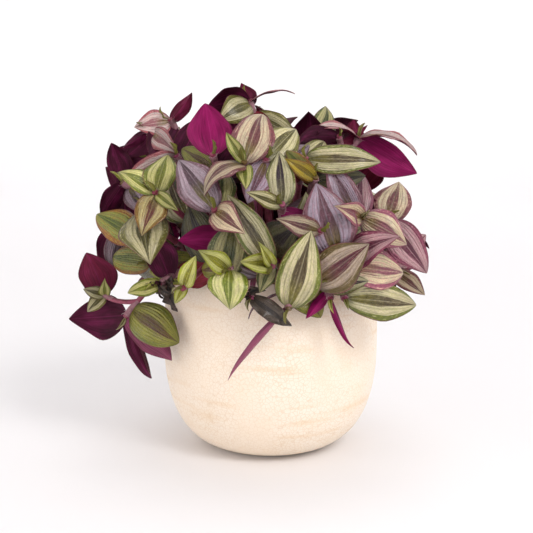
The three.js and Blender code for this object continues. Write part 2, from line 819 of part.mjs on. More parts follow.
function build() {
  const front = FRONT_SHOOTS.map((shoot) => ({ ...shoot, byHand: true }));
  const shoots = [...front, ...ringShoots()];
  const potSolid = pot();
  const soilSolid = soil(shoots.map((shoot) => shoot.root));
  place('pot', potSolid);
  place('soil', soilSolid);

  for (const shoot of shoots) {
    const step = shoot.tip[2] < LOW_TIP ? CURVED_STEP : STEM_STEP;
    const main = stem(stemCurve(shoot.root, shoot.tip, shoot.heading), STEM_RADIUS, step);
    if (!isClear(main.solid, shoot.name)) {
      throw new Error(`the stem of ${shoot.name} touches another piece`);
    }
    shoot.corners = main.corners;
    place(shoot.name, main.solid);
    for (const twig of shoot.twigs ?? []) {
      const side = stem(twigCurve(shoot.corners, twig), TWIG_RADIUS, CURVED_STEP);
      if (!isClear(side.solid, shoot.name)) {
        throw new Error(`a twig of ${shoot.name} touches another piece`);
      }
      twig.corners = side.corners;
      place(shoot.name, side.solid);
    }
  }
  const frontFirst = [...front].sort((one, other) => one.tip[1] - other.tip[1]);
  for (const shoot of frontFirst) {
    for (const branch of [shoot, ...(shoot.twigs ?? [])]) {
      for (const row of branch.leaves) {
        growLeaf(shoot.name, frontLeaf(branch.corners, row));
      }
    }
  }
  for (const shoot of shoots) {
    const extra = shoot.byHand
      ? innerLeaves(shoot.corners)
      : ringLeaves(shoot.corners, bearing(...shoot.heading));
    for (const leaf of extra) {
      growLeaf(shoot.name, leaf);
    }
  }

  const group = new THREE.Group();
  const glaze = new THREE.MeshStandardMaterial({ color: 0xf3e6cf, roughness: 0.35, metalness: 0 });
  const earth = new THREE.MeshStandardMaterial({ color: 0x2e241c, roughness: 0.95, metalness: 0 });
  group.add(meshOf('pot', potSolid, glaze), meshOf('soil', soilSolid, earth));
  for (const shoot of shoots) {
    const pieces = placed.filter((piece) => piece.node === shoot.name);
    const body = joined(pieces.map((piece) => piece.solid));
    const leafy = new THREE.MeshStandardMaterial({ color: 0x7d7f5a, roughness: 0.4, metalness: 0 });
    group.add(meshOf(shoot.name, body, leafy));
  }
  return group;
}

export default build();
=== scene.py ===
"""A potted tradescantia: a round crackle-glazed pot, its soil and 48 leafy shoots.

Each shoot grows by the same rules as its solid: a stem, side twigs, and leaves
placed on them. Lengths are millimetres until a mesh is made.
"""

import bisect
import math
import random
from types import SimpleNamespace

import bmesh
import bpy
import numpy as np
from mathutils import Euler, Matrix, Quaternion, Vector, noise
from mathutils.kdtree import KDTree


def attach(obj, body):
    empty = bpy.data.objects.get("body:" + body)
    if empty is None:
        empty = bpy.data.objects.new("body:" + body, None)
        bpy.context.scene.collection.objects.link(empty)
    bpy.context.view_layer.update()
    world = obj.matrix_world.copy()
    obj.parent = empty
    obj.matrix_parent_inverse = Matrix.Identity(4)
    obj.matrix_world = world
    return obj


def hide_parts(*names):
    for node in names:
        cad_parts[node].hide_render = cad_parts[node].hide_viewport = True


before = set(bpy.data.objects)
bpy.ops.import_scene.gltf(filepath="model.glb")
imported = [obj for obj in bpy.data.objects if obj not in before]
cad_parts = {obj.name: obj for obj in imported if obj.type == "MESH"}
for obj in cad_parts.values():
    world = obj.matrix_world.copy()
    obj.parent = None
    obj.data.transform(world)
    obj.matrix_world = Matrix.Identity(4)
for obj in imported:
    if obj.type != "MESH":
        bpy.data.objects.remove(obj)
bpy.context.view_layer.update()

MM = 0.001
UP = Vector((0, 0, 1))

# ---- sizes shared with the solids ----

POT_HEIGHT = 126
POT_RADIUS = 75
POT_WIDEST = 74
POT_SHOULDER = 84
POT_FOOT = 28
POT_RIM = 66
POT_WALL = 5
POT_FLOOR = 7
BELLY_POWER = 2.45
SHOULDER_POWER = 2.2
SOIL_TOP = 112
SOIL_CROWN = 2
STEM_RADIUS = 2.1
TWIG_RADIUS = 1.6
STEM_STEP = 19
CURVED_STEP = 9
STEM_DEPTH = 15
LOW_TIP = 146  # a stem that ends lower than this hangs over the rim
HIGH_TIP = 200
LOW_CLIMB = 0.8  # how far a stem climbs before it leans, as a share of its span
CLIMB = 0.35
STEM_PULL = 0.4
TWIG_PULL = 0.5
INNER_BACK = 36
ARC_PIECES = 200  # straight pieces that a curve's length is measured on
LEAF_CUP = 0.12
LEAF_SHAPE = 2.16  # brings the outline's widest place to 1
LEAF_BASE = 0.5  # less is rounder at the base
LEAF_POINT = 0.62  # more is longer drawn out at the tip
SOLID_THICKNESS = 0.8
DOME_CENTRE = Vector((-4, 0, 146))
DOME_RADII = (88, 82, 74)
INNER_CENTRE = Vector((0, 0, 116))
FRONT = Vector((0, -1, 0.2)).normalized()
LEAST_ARCH = 0.02  # radians
INNER_OUT = 0.4  # how far a leaf of the inside leans outwards
SEED = 20
DRAW_FACTOR, DRAW_STEP, DRAW_SPAN = 1664525, 1013904223, 2**32

# ---- colours ----

# looks of the upper face: the two bright bands, the heart between them, the margin
LOOKS = {
    "fresh": ((198, 197, 142), (102, 112, 10), (90, 100, 14)),
    "russet": ((190, 182, 138), (88, 40, 34), (114, 94, 44)),
    "silver": ((192, 189, 156), (74, 72, 30), (86, 86, 36)),
    "pale": ((198, 188, 182), (136, 100, 108), (136, 88, 96)),
    "amber": ((116, 124, 62), (72, 84, 20), (108, 80, 34)),
    "lime": ((194, 196, 138), (128, 132, 22), (124, 134, 18)),
    "bright": ((206, 206, 158), (98, 112, 14), (100, 114, 20)),
    "yellow": ((164, 152, 66), (104, 92, 14), (110, 92, 26)),
    "plum": ((150, 140, 146), (68, 52, 62), (86, 68, 78)),
    "rose": ((196, 188, 162), (92, 58, 62), (98, 62, 68)),
    "moss": ((170, 168, 126), (54, 64, 14), (58, 66, 20)),
    "ink": ((202, 199, 168), (38, 18, 34), (80, 86, 26)),
    "lilac": ((166, 156, 166), (92, 62, 76), (110, 80, 92)),
    "mauve": ((176, 152, 152), (84, 38, 60), (104, 58, 78)),
    "blush": ((196, 188, 160), (122, 84, 96), (120, 76, 94)),
    "sage": ((188, 184, 154), (66, 58, 34), (78, 86, 20)),
    "dusk": ((178, 166, 150), (84, 36, 50), (80, 70, 34)),
    "olive": ((130, 130, 66), (88, 70, 48), (96, 102, 38)),
    "shadow": ((84, 84, 58), (34, 28, 26), (38, 40, 16)),
    "dry": ((66, 58, 50), (34, 28, 24), (48, 42, 32)),
}
UNDERSIDES = {
    "magenta": (116, 12, 78),
    "wine": (58, 8, 34),
    "garnet": (88, 20, 46),
    "rosy": (142, 84, 114),
    "brick": (104, 36, 34),
    "sprout": (112, 122, 56),
    "dry": (40, 32, 30),
}
BACK_LOOKS = ("silver", "sage", "moss", "rose", "lilac", "mauve", "fresh", "plum", "silver")
INNER_LOOKS = ("moss", "shadow", "sage", "plum", "shadow", "olive")
YOUNG_LOOKS = ("fresh", "lime", "silver")
BLUNT_LOOKS = ("olive", "amber")
BACK_UNDERS = ("wine", "magenta", "garnet", "wine")
VIVID = 1.5  # how much further from grey than its row a heart or a margin is made
BAND_VIVID = 1.4
WARMTH = (1.06, 1.0, 0.94)
BAND_WARMTH = (1.02, 0.99, 1.0)
BASE_TONE = (112, 112, 14)
FLUSH_TONE = (126, 84, 98)  # the pink breath on the bands
EDGE_TONE = (104, 26, 46)
STEM_TONES = ((150, 70, 92), (156, 72, 104), (112, 88, 48), (134, 50, 74))
SHEATH_TONE = (158, 112, 122)
HAIR_TONE = (206, 190, 186)
STEM_SHADE = 0.72  # the darker flecks of a stem
COLOUR_NAMES = ("band", "heart", "margin", "base", "under")
UNDER_SLOT, STEM_SLOT = 1, 2  # places of their paints, after the upper face's
LOOK_SEED = 7
chance = random.Random(LOOK_SEED)

# ---- the shoots of the front, placed one by one ----
#
# name, root on the soil, tip, heading (bearing, rise), leaves, twigs
# a leaf: back, clock, toward, length, width, roll, arch, fold, look, underside
# a twig: back, tip, heading, leaves

FRONT_SHOOTS = [
    ("upper_left_rosette", (-36, -15), (-73, -60, 182), (230, 35), [
        (2, 80, -40, 31, 19, 0, 30, 20, "fresh", "magenta"),
        (3, 155, -25, 35, 19, 0, 25, 25, "fresh", "wine"),
        (2, -32, 35, 22, 9, 0, 20, 35, "fresh", "wine"),
        (3, -106, 40, 32, 19, 0, 20, 25, "russet", "wine"),
    ], []),
    ("left_face", (-46, -17), (-83, -48, 170), (215, 55), [
        (2, -80, 35, 44, 28, 0, 28, 12, "silver", "wine"),
    ], [
        (24, (-87, -42, 150), (205, 15), [
            (2, 153, -25, 38, 22, 0, 30, 12, "amber", "wine"),
        ]),
        (40, (-80, -44, 134), (210, -10), [
            (2, 178, -30, 35, 20, 0, 30, 12, "amber", "wine"),
        ]),
    ]),
    ("left_edge_low", (-54, -8), (-108, -13, 154), (185, 10), [
        (2, -110, 15, 30, 15, 170, 20, 20, "plum", "wine"),
        (7, -100, 35, 30, 17, 0, 20, 15, "plum", "wine"),
        (10, 100, -20, 32, 18, 180, 30, 15, "plum", "wine"),
    ], []),
    ("left_edge", (-44, -1), (-101, -14, 185), (190, 35), [
        (2, -120, 20, 30, 14, 150, 20, 20, "plum", "wine"),
        (4, 105, 5, 30, 15, 180, 20, 20, "rose", "wine"),
        (6, -50, 40, 30, 14, 0, 20, 20, "plum", "wine"),
        (14, 150, -30, 34, 18, 180, 30, 15, "moss", "wine"),
    ], []),
    ("left_shoulder", (-32, 16), (-84, -8, 202), (190, 40), [
        (2, 165, 10, 24, 14, 180, 35, 20, "silver", "wine"),
        (5, -98, 25, 36, 18, 180, 30, 15, "plum", "wine"),
        (9, 62, -10, 32, 16, 0, 30, 20, "moss", "wine"),
        (15, 205, 10, 34, 17, 180, 30, 20, "plum", "wine"),
    ], []),
    ("low_left_dark", (-41, -38), (-71, -63, 123), (222, -20), [
        (2, 195, 10, 22, 11, 0, 60, 30, "fresh", "garnet"),
        (5, -62, 25, 22, 12, 0, 50, 30, "dry", "dry"),
        (9, 108, 10, 32, 18, 180, 30, 15, "shadow", "wine"),
        (14, 10, 15, 30, 16, 180, 30, 18, "shadow", "brick"),
    ], []),
    ("trailing_left", (-49, -27), (-97, -37, 96), (205, -50), [
        (2, 188, -20, 43, 26, 180, 30, 15, "plum", "wine"),
        (3, -68, 15, 46, 14, 160, 70, 45, "plum", "wine"),
        (7, -26, 35, 46, 26, 0, 40, 8, "olive", "wine"),
        (1, -38, 15, 44, 17, 180, 20, 15, "plum", "rosy"),
        (5, -60, 5, 38, 16, 180, 20, 15, "plum", "wine"),
    ], [
        (14, (-113, -30, 111), (150, 30), [
            (2, 108, 0, 31, 22, 180, 22, 15, "rose", "garnet"),
            (2, 158, 20, 15, 9, 0, 30, 30, "silver", "garnet"),
            (2, -140, 30, 16, 10, 0, 30, 30, "silver", "garnet"),
            (3, 90, 30, 14, 8, 0, 30, 30, "fresh", "garnet"),
        ]),
    ]),
    ("lime_bud", (-31, -46), (-54, -86, 125), (240, -15), [
        (2, 68, 15, 22, 12, 0, 45, 35, "lime", "garnet"),
        (4, -122, 10, 13, 8, 0, 35, 40, "lime", "garnet"),
    ], []),
    ("centre_left", (-13, -30), (-34, -87, 174), (255, 40), [
        (2, 127, -30, 44, 22, 0, 30, 18, "plum", "magenta"),
        (3, -30, 35, 32, 18, 0, 30, 28, "rose", "wine"),
        (5, 82, -35, 34, 19, 0, 25, 20, "moss", "wine"),
    ], []),
    ("centre_shade", (-24, -35), (-23, -87, 164), (275, 35), [
        (2, -98, 2, 36, 22, 0, 45, 5, "moss", "wine"),
        (20, 178, 10, 34, 16, 180, 25, 15, "plum", "magenta"),
    ], [
        (42, (-25, -97, 138), (258, -5), [
            (2, -92, 18, 24, 21, 0, 115, 5, "bright", "wine"),
            (3, 145, 25, 24, 14, 0, 25, 38, "lime", "wine"),
            (9, 217, -10, 26, 15, 0, 25, 20, "olive", "wine"),
            (14, -20, 10, 20, 10, 60, 25, 25, "plum", "wine"),
        ]),
    ]),
    ("crown_rosette", (-9, -17), (-16, -77, 202), (262, 50), [
        (2, 73, -35, 41, 23, 0, 30, 15, "rose", "wine"),
        (2, 124, -10, 22, 11, 0, 20, 48, "fresh", "garnet"),
        (4, 212, 25, 33, 18, 45, 95, 12, "rose", "wine"),
        (3, -88, 45, 20, 10, 0, 20, 25, "fresh", "wine"),
    ], []),
    ("purple_back", (-21, -20), (-36, -64, 206), (250, 55), [
        (2, 98, -30, 38, 24, 180, 25, 12, "rose", "magenta"),
        (14, 150, -30, 32, 14, 0, 25, 20, "olive", "wine"),
        (20, 60, -25, 34, 18, 180, 25, 15, "plum", "wine"),
    ], []),
    ("top", (-9, -4), (-14, -6, 240), (200, 75), [
        (2, 190, 15, 32, 22, 140, 60, 12, "silver", "wine"),
        (3, 208, 35, 28, 18, 0, 55, 12, "silver", "wine"),
        (2, 12, 10, 31, 10, -80, 55, 20, "pale", "garnet"),
        (5, 112, -20, 18, 12, 180, 25, 20, "silver", "garnet"),
        (8, -60, 50, 32, 14, 180, 25, 25, "silver", "brick"),
        (12, -20, 20, 34, 16, 0, 35, 20, "silver", "brick"),
    ], []),
    ("upper_left_tuft", (-27, 5), (-68, -10, 227), (195, 60), [
        (2, 50, 0, 24, 11, 180, 25, 38, "pale", "garnet"),
        (2, 192, 15, 25, 16, 0, 40, 18, "pale", "garnet"),
        (5, -120, 45, 34, 19, 180, 22, 12, "plum", "wine"),
    ], [
        (26, (-84, -14, 220), (190, 30), [
            (2, 215, 10, 20, 9, 180, 40, 45, "pale", "wine"),
            (4, -35, 30, 30, 15, 0, 30, 32, "pale", "wine"),
            (6, 218, -10, 26, 13, 180, 22, 18, "plum", "wine"),
        ]),
    ]),
    ("upper_left_shade", (-31, -6), (-62, -34, 204), (215, 50), [
        (2, 205, 10, 36, 16, 0, 30, 32, "pale", "wine"),
        (4, 60, -25, 34, 18, 180, 25, 20, "plum", "wine"),
        (8, -70, 30, 36, 18, 0, 30, 20, "shadow", "wine"),
    ], []),
    ("upper_middle", (3, -22), (-3, -70, 204), (275, 50), [
        (2, 45, -30, 36, 21, 0, 30, 14, "silver", "wine"),
        (3, -114, 40, 32, 18, 0, 30, 18, "lilac", "wine"),
        (18, 38, -20, 38, 17, 0, 30, 22, "plum", "wine"),
    ], []),
    ("centre_right", (7, -34), (7, -87, 177), (272, 38), [
        (2, 92, -30, 37, 17, 0, 18, 22, "ink", "wine"),
        (5, 86, -15, 30, 14, 0, 22, 24, "silver", "wine"),
        (2, 160, 25, 25, 10, 0, 22, 35, "silver", "magenta"),
        (8, -28, 20, 26, 12, 180, 22, 15, "plum", "magenta"),
    ], []),
    ("yellowing", (16, -23), (28, -68, 192), (290, 45), [
        (2, 143, 15, 24, 11, 0, 35, 35, "yellow", "garnet"),
        (5, 132, -10, 26, 13, 0, 30, 20, "amber", "brick"),
        (9, 10, 10, 34, 16, 0, 30, 18, "shadow", "wine"),
    ], []),
    ("centre_long", (0, -46), (1, -98, 141), (272, 5), [
        (2, 121, -5, 50, 17, 0, 30, 22, "sage", "garnet"),
        (3, 168, 30, 22, 14, 0, 35, 38, "lime", "garnet"),
        (2, 122, 20, 20, 10, 0, 22, 48, "lime", "garnet"),
        (10, -112, 25, 20, 11, 0, 30, 18, "moss", "wine"),
    ], []),
    ("big_right", (18, -43), (30, -90, 162), (285, 45), [
        (2, 164, 25, 29, 13, 0, 30, 28, "rose", "garnet"),
        (26, 94, 5, 36, 18, 0, 22, 18, "silver", "wine"),
    ], [
        (20, (42, -86, 146), (310, 15), [
            (2, 107, 5, 45, 29, 0, 32, 12, "lilac", "wine"),
            (5, 166, 38, 29, 18, 180, 45, 8, "rose", "garnet"),
        ]),
    ]),
    ("low_centre_right", (10, -54), (11, -93, 113), (268, -60), [
        (2, 72, 12, 50, 25, 0, 20, 22, "sage", "garnet"),
        (3, -130, 12, 58, 9, 165, 25, 48, "mauve", "rosy"),
        (14, 208, 5, 30, 10, 90, 25, 25, "plum", "wine"),
    ], [
        (16, (28, -91, 128), (335, 5), [
            (2, 38, 5, 42, 25, 0, 22, 18, "dusk", "garnet"),
        ]),
    ]),
    ("dried", (-8, -55), (-12, -90, 119), (262, -50), [
        (2, -38, -5, 31, 14, 0, 60, 25, "dry", "dry"),
    ], []),
    ("hanging_right", (27, -48), (37, -86, 118), (300, -60), [
        (2, -70, 12, 34, 9, 170, 35, 48, "sage", "magenta"),
        (6, 232, 15, 22, 8, 180, 25, 38, "plum", "magenta"),
        (9, 12, 12, 26, 12, 0, 35, 25, "ink", "magenta"),
    ], []),
    ("right_rosette", (27, -30), (57, -76, 168), (300, 35), [
        (2, 152, 40, 30, 16, 0, 22, 42, "blush", "garnet"),
        (2, -48, 40, 32, 21, 0, 55, 12, "blush", "garnet"),
        (6, 118, -10, 43, 17, 0, 18, 24, "lilac", "wine"),
        (10, 82, -30, 38, 17, 0, 20, 20, "mauve", "wine"),
    ], []),
    ("right_round", (41, -21), (76, -56, 164), (325, 30), [
        (3, 70, -20, 29, 21, 0, 35, 10, "rose", "wine"),
        (3, -52, 10, 42, 21, 0, 25, 18, "mauve", "wine"),
        (9, 130, 10, 34, 16, 180, 25, 20, "plum", "wine"),
    ], []),
    ("right_low", (35, -38), (49, -84, 138), (300, 5), [
        (2, -12, -25, 42, 22, 0, 28, 16, "blush", "wine"),
        (14, -8, 20, 44, 20, 0, 20, 22, "mauve", "wine"),
    ], []),
    ("right_under", (45, -32), (46, -82, 117), (290, -40), [
        (2, -9, -20, 52, 22, 0, 22, 20, "sage", "magenta"),
        (7, -20, -28, 52, 20, 0, 25, 16, "dusk", "magenta"),
    ], []),
    ("right_edge_low", (53, -16), (84, -32, 126), (335, -10), [
        (2, -38, 20, 26, 14, 0, 25, 35, "rose", "garnet"),
        (8, 35, -10, 36, 19, 0, 30, 18, "mauve", "wine"),
        (14, -75, 30, 30, 16, 180, 30, 18, "plum", "wine"),
    ], []),
    ("right_long", (14, -11), (22, -64, 204), (285, 50), [
        (2, -10, 5, 47, 17, 0, 40, 18, "sage", "garnet"),
        (10, 168, 0, 28, 15, 180, 25, 18, "rose", "brick"),
        (16, 60, -25, 36, 18, 0, 30, 20, "silver", "wine"),
    ], []),
    ("top_right", (24, -1), (60, -12, 215), (350, 55), [
        (2, 170, 20, 34, 14, 60, 60, 28, "pale", "garnet"),
        (2, -14, 10, 41, 14, -60, 70, 28, "pale", "garnet"),
        (3, -29, 10, 46, 23, 165, 40, 15, "mauve", "magenta"),
        (8, 88, -20, 19, 13, 180, 22, 20, "plum", "garnet"),
        (13, 150, 30, 32, 16, 180, 30, 22, "plum", "wine"),
    ], [
        (22, (45, -24, 216), (250, 40), [
            (2, 176, 20, 34, 13, 150, 60, 28, "rose", "wine"),
            (6, 42, -25, 26, 10, 180, 22, 38, "pale", "garnet"),
        ]),
    ]),
]

# small withered scraps, too thin for the solids
SCRAPS = {
    "low_left_dark": [
        (1, -30, 20, 12, 7, 30, 120, 30, "dry", "dry"),
        (3, 170, 15, 11, 6, -40, 110, 35, "dry", "dry"),
        (6, -100, 30, 12, 7, 60, 130, 30, "dry", "dry"),
        (9, -60, 40, 10, 6, 0, 120, 30, "dry", "dry"),
    ],
    "dried": [
        (1, 200, 10, 12, 6, 40, 120, 35, "dry", "dry"),
        (3, 30, 30, 11, 6, -30, 130, 30, "dry", "dry"),
    ],
}

# each ring of the back: rise, first and last bearing, shoots
RINGS = ((2, 4, 176, 7), (30, 12, 158, 5), (58, 30, 150, 3), (68, 0, 120, 2), (80, 60, 60, 1))
ROOT_REACH = 54
RING_LEAVES = 6
GOLDEN_ANGLE = 137.5
OPENING = 38  # degrees from the stem, for the leaf nearest its end
OPENING_STEP = 11
RING_LENGTH, RING_LENGTH_STEP = 31, 2.8
RING_WIDTH, RING_WIDTH_STEP = 18, 1.4
# a tip of the back heads up by this share of its rise, and by so many degrees more
TIP_RISE, TIP_LIFT = 0.7, 15

# ways in which a leaf was bent clear of its neighbours: lift, swing, roll
BENDS = (
    (0, 0, 0),
    (8, 0, 0), (-8, 0, 0), (0, 8, 0), (0, -8, 0), (0, 0, 20), (0, 0, -20),
    (16, 0, 0), (-16, 0, 0), (0, 16, 0), (0, -16, 0), (0, 0, 40), (0, 0, -40),
    (12, 12, 0), (12, -12, 0), (-12, 12, 0), (-12, -12, 0),
    (26, 0, 0), (-26, 0, 0), (0, 26, 0), (0, -26, 0),
    (26, 26, 0), (26, -26, 0), (-26, 26, 0), (-26, -26, 0),
    (40, 0, 0), (-40, 0, 0), (0, 40, 0), (0, -40, 0),
)
LENGTH_SHARES = (1, 0.88, 0.76, 0.64)

# ---- stems and the places of the leaves ----


def bearing(turn, rise):
    a, e = math.radians(turn), math.radians(rise)
    return Vector((math.cos(a) * math.cos(e), math.sin(a) * math.cos(e), math.sin(e)))


def about(vector, axis, degrees):
    turned = vector.copy()
    turned.rotate(Quaternion(axis, math.radians(degrees)))
    return turned


def bezier(*corners):
    """A curve through its first and last corner, pulled by the ones between."""
    degree = len(corners) - 1
    shares = [math.comb(degree, i) for i in range(degree + 1)]

    def point(t):
        total = Vector((0, 0, 0))
        for i, corner in enumerate(corners):
            total += corner * (shares[i] * (1 - t) ** (degree - i) * t**i)
        return total

    return point


def arc_lengths(point):
    spots = [point(i / ARC_PIECES) for i in range(ARC_PIECES + 1)]
    lengths = [0.0]
    for one, other in zip(spots, spots[1:]):
        lengths.append(lengths[-1] + (other - one).length)
    return lengths


def point_at(point, lengths, target):
    i = min(max(bisect.bisect_right(lengths, target) - 1, 0), ARC_PIECES - 1)
    share = (target - lengths[i]) / (lengths[i + 1] - lengths[i])
    return point((i + share) / ARC_PIECES)


def spaced_points(parts, step):
    """Corners an equal length apart along a curve of one or two parts."""
    tables = [arc_lengths(part) for part in parts]
    whole = sum(table[-1] for table in tables)
    steps = max(2, round(whole / step))
    corners = []
    for i in range(steps + 1):
        target = whole * i / steps
        for part, table in zip(parts, tables):
            if target <= table[-1] or part is parts[-1]:
                corners.append(point_at(part, table, min(target, table[-1])))
                break
            target -= table[-1]
    return corners


def stem_parts(root, tip, heading):
    foot = Vector((*root, SOIL_TOP - STEM_DEPTH))
    start = Vector((*root, SOIL_TOP + SOIL_CROWN + 1))
    span = (tip - start).length
    climb = (LOW_CLIMB if tip.z < LOW_TIP else CLIMB) * span
    pull = tip - bearing(*heading) * (STEM_PULL * span)
    return [bezier(foot, start), bezier(start, start + UP * climb, pull, tip)]


def twig_parts(parent_corners, back, tip, heading):
    start = point_back(parent_corners, back)
    span = (tip - start).length
    return [bezier(start, tip - bearing(*heading) * (TWIG_PULL * span), tip)]


def point_back(corners, back):
    """The point a distance back from the end, on the straight stretches."""
    left = back
    for one, other in zip(corners[::-1], corners[-2::-1]):
        stretch = (other - one).length
        if left <= stretch:
            return one.lerp(other, left / stretch)
        left -= stretch
    return corners[0].copy()


def leaf_axes(along, face, roll):
    chord = along.normalized()
    normal = (face - chord * face.dot(chord)).normalized()
    return chord, about(normal, chord, roll)


def bent_axes(axes, lift, swing, roll):
    chord, normal = axes
    side = normal.cross(chord)
    chord, normal = about(chord, side, -lift), about(normal, side, -lift)
    chord = about(chord, normal, swing)
    return chord, about(normal, chord, roll)


def front_direction(clock, toward):
    a, e = math.radians(clock), math.radians(toward)
    return Vector((math.cos(a) * math.cos(e), -math.sin(e), math.sin(a) * math.cos(e)))


def new_leaf(corners, back, axes, size, bend, look=None, under=None):
    arch, fold = bend
    return SimpleNamespace(
        corners=corners, back=back, base=point_back(corners, back), axes=axes,
        length=size[0], width=size[1],
        arch=max(LEAST_ARCH, math.radians(arch)), fold=math.radians(fold),
        look=look, under=under, spread=BLADE_SPREAD,
    )


def front_leaf(corners, row):
    back, clock, toward, length, width, roll, arch, fold, look, under = row
    axes = leaf_axes(front_direction(clock, toward), FRONT, roll)
    return new_leaf(corners, back, axes, (length, width), (arch, fold), look, under)


def growth_draws(state):
    """The chance by which the solids grew, number by number from 0 to 1."""
    while True:
        state = (state * DRAW_FACTOR + DRAW_STEP) % DRAW_SPAN
        yield state / DRAW_SPAN


draws = growth_draws(SEED)


def draw(low, high):
    return low + (high - low) * next(draws)


def ring_leaves(corners, heading):
    """Leaves wound round the end of a shoot, opening wider further back."""
    leaves = []
    sideways = heading.cross(UP).normalized()
    start = draw(0, 360)
    for i in range(RING_LEAVES):
        turn = start + i * GOLDEN_ANGLE + draw(-15, 15)
        opening = math.radians(OPENING + OPENING_STEP * i + draw(-6, 6))
        along = heading * math.cos(opening)
        along += about(sideways, heading, turn) * math.sin(opening)
        axes = leaf_axes(along, heading, draw(-15, 15))
        length = RING_LENGTH + RING_LENGTH_STEP * i + draw(-3, 4)
        width = RING_WIDTH + RING_WIDTH_STEP * i + draw(-1, 3)
        bend = (draw(25, 60), draw(8, 26))
        back = 2 + 6 * i + 0.4 * i * i
        leaves.append(new_leaf(corners, back, axes, (length, width), bend))
    return leaves


def inner_leaves(corners):
    """A leaf lower on a front shoot, which closes the plant behind the others."""
    if corners[-1].z > HIGH_TIP:
        return []
    out = (point_back(corners, INNER_BACK) - INNER_CENTRE).normalized()
    along = about(out.cross(UP).normalized(), out, draw(0, 360)) + out * INNER_OUT
    axes = leaf_axes(along, out, draw(-25, 25))
    size = (draw(34, 42), draw(20, 25))
    bend = (draw(25, 50), draw(8, 22))
    return [new_leaf(corners, INNER_BACK, axes, size, bend)]


def ring_shoots():
    shoots = []
    for ring_rise, first, last, count in RINGS:
        for i in range(count):
            turn = first + (last - first) * (i / (count - 1) if count > 1 else 0)
            rise = ring_rise + draw(-5, 5)
            out = bearing(turn + draw(-5, 5), rise)
            share = draw(0.9, 1.02)
            reached = [o * radius * share for o, radius in zip(out, DOME_RADII)]
            reach = ROOT_REACH * math.cos(math.radians(ring_rise)) ** 1.5
            root = bearing(turn, 0) * reach
            heading = (turn, rise * TIP_RISE + TIP_LIFT)
            name = f"back_{len(shoots) + 1:02d}"
            tip = Vector(reached) + DOME_CENTRE
            shoots.append((name, (root.x, root.y), tip, heading, [], []))
    return shoots


# ---- fitting each leaf to its solid ----


def blade_width(v):
    return LEAF_SHAPE * v**LEAF_BASE * (1 - v) ** LEAF_POINT


def curve_of(leaf, axes, length, s, t):
    """A point of a solid leaf's middle surface, and the way it faces there."""
    chord, normal = axes
    half = leaf.arch / 2
    slope = half - 2 * half * s
    scale = length / (2 * math.sin(half))
    forward = (math.sin(half) - math.sin(slope)) * scale
    rise = (math.cos(slope) - math.cos(half)) * scale
    reach = leaf.width / 2 * blade_width(s)
    lift = reach * (abs(t) * math.sin(leaf.fold) - LEAF_CUP * t * t)
    facing = normal * math.cos(slope) - chord * math.sin(slope)
    side = normal.cross(chord)
    point = leaf.base + chord * forward + normal * rise
    return point + side * (reach * t * math.cos(leaf.fold)) + facing * lift, facing


KEY_SPOTS = ((1, 0), (0.62, -1), (0.62, 1), (0.62, 0), (0.2, -1), (0.2, 1), (0.2, 0))
NEAR = 0.06  # how close a key spot lies to a corner of the solid that it matches
CHANCE_MATCHES = 4  # more than this many aren't there by chance


def matches(corners, leaf, axes, length):
    half = SOLID_THICKNESS / 2 / math.cos(leaf.fold)
    found = 0
    for spot, (s, t) in enumerate(KEY_SPOTS):
        point, facing = curve_of(leaf, axes, length, s, t)
        for side in (half, -half):
            found += corners.find(point + facing * side)[2] < NEAR
        if spot == 0 and found == 0:
            return 0
    return found


def fitted(corners, leaf):
    """The leaf turned and shortened as its solid is, or None if it has none."""
    best, best_found = None, CHANCE_MATCHES
    for share in LENGTH_SHARES:
        for bend in BENDS:
            axes = bent_axes(leaf.axes, *bend)
            found = matches(corners, leaf, axes, leaf.length * share)
            if found > best_found:
                best, best_found = (axes, leaf.length * share), found
    if best is None:
        return None
    leaf.axes, leaf.length = best
    return leaf


def solid_corners(name):
    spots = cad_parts[name].data.vertices
    tree = KDTree(len(spots))
    for spot in spots:
        tree.insert(spot.co / MM, spot.index)
    tree.balance()
    return tree


# ---- the shape of a leaf ----

BLADE_COLUMNS = 12
BLADE_ROWS = 20
BLADE_SPREAD = 1.2  # the blade is this much wider than its solid
INNER_SPREAD = 1.3  # the same for the leaves that close the plant from behind
BLADE_THICK = 0.3
ROW_ARC = 0.94 * math.pi  # rows lie closer together at the base and the tip
SPIKE = 0.28  # a leaf narrower than this share of its length is a spike
KEEL = 1.4  # the blade folds this much more sharply along its middle
KEEL_ROUND = 0.02  # more is a rounder fold
KEEL_LOW, KEEL_SPAN = 0.141, 0.869  # bring it to 0 at the middle and 1 at the margin
OUTLINE_WAVE = 0.05
MARGIN_THIN = 0.6  # how much thinner the margin is
MARGIN_REACH = 0.001
SEAM_JOIN = 1e-5
DRAWN_FROM = 0.5  # the share of its length where the tip begins to draw out
CURLED_FROM = 0.7
MIDRIB = 0.28  # how much thicker the middle is
MIDRIB_REACH = 0.09


def eased(share, arc):
    """From 0 to 1 with short steps at the start, and at the end of a long arc."""
    return (1 - math.cos(share * arc)) / (1 - math.cos(arc))


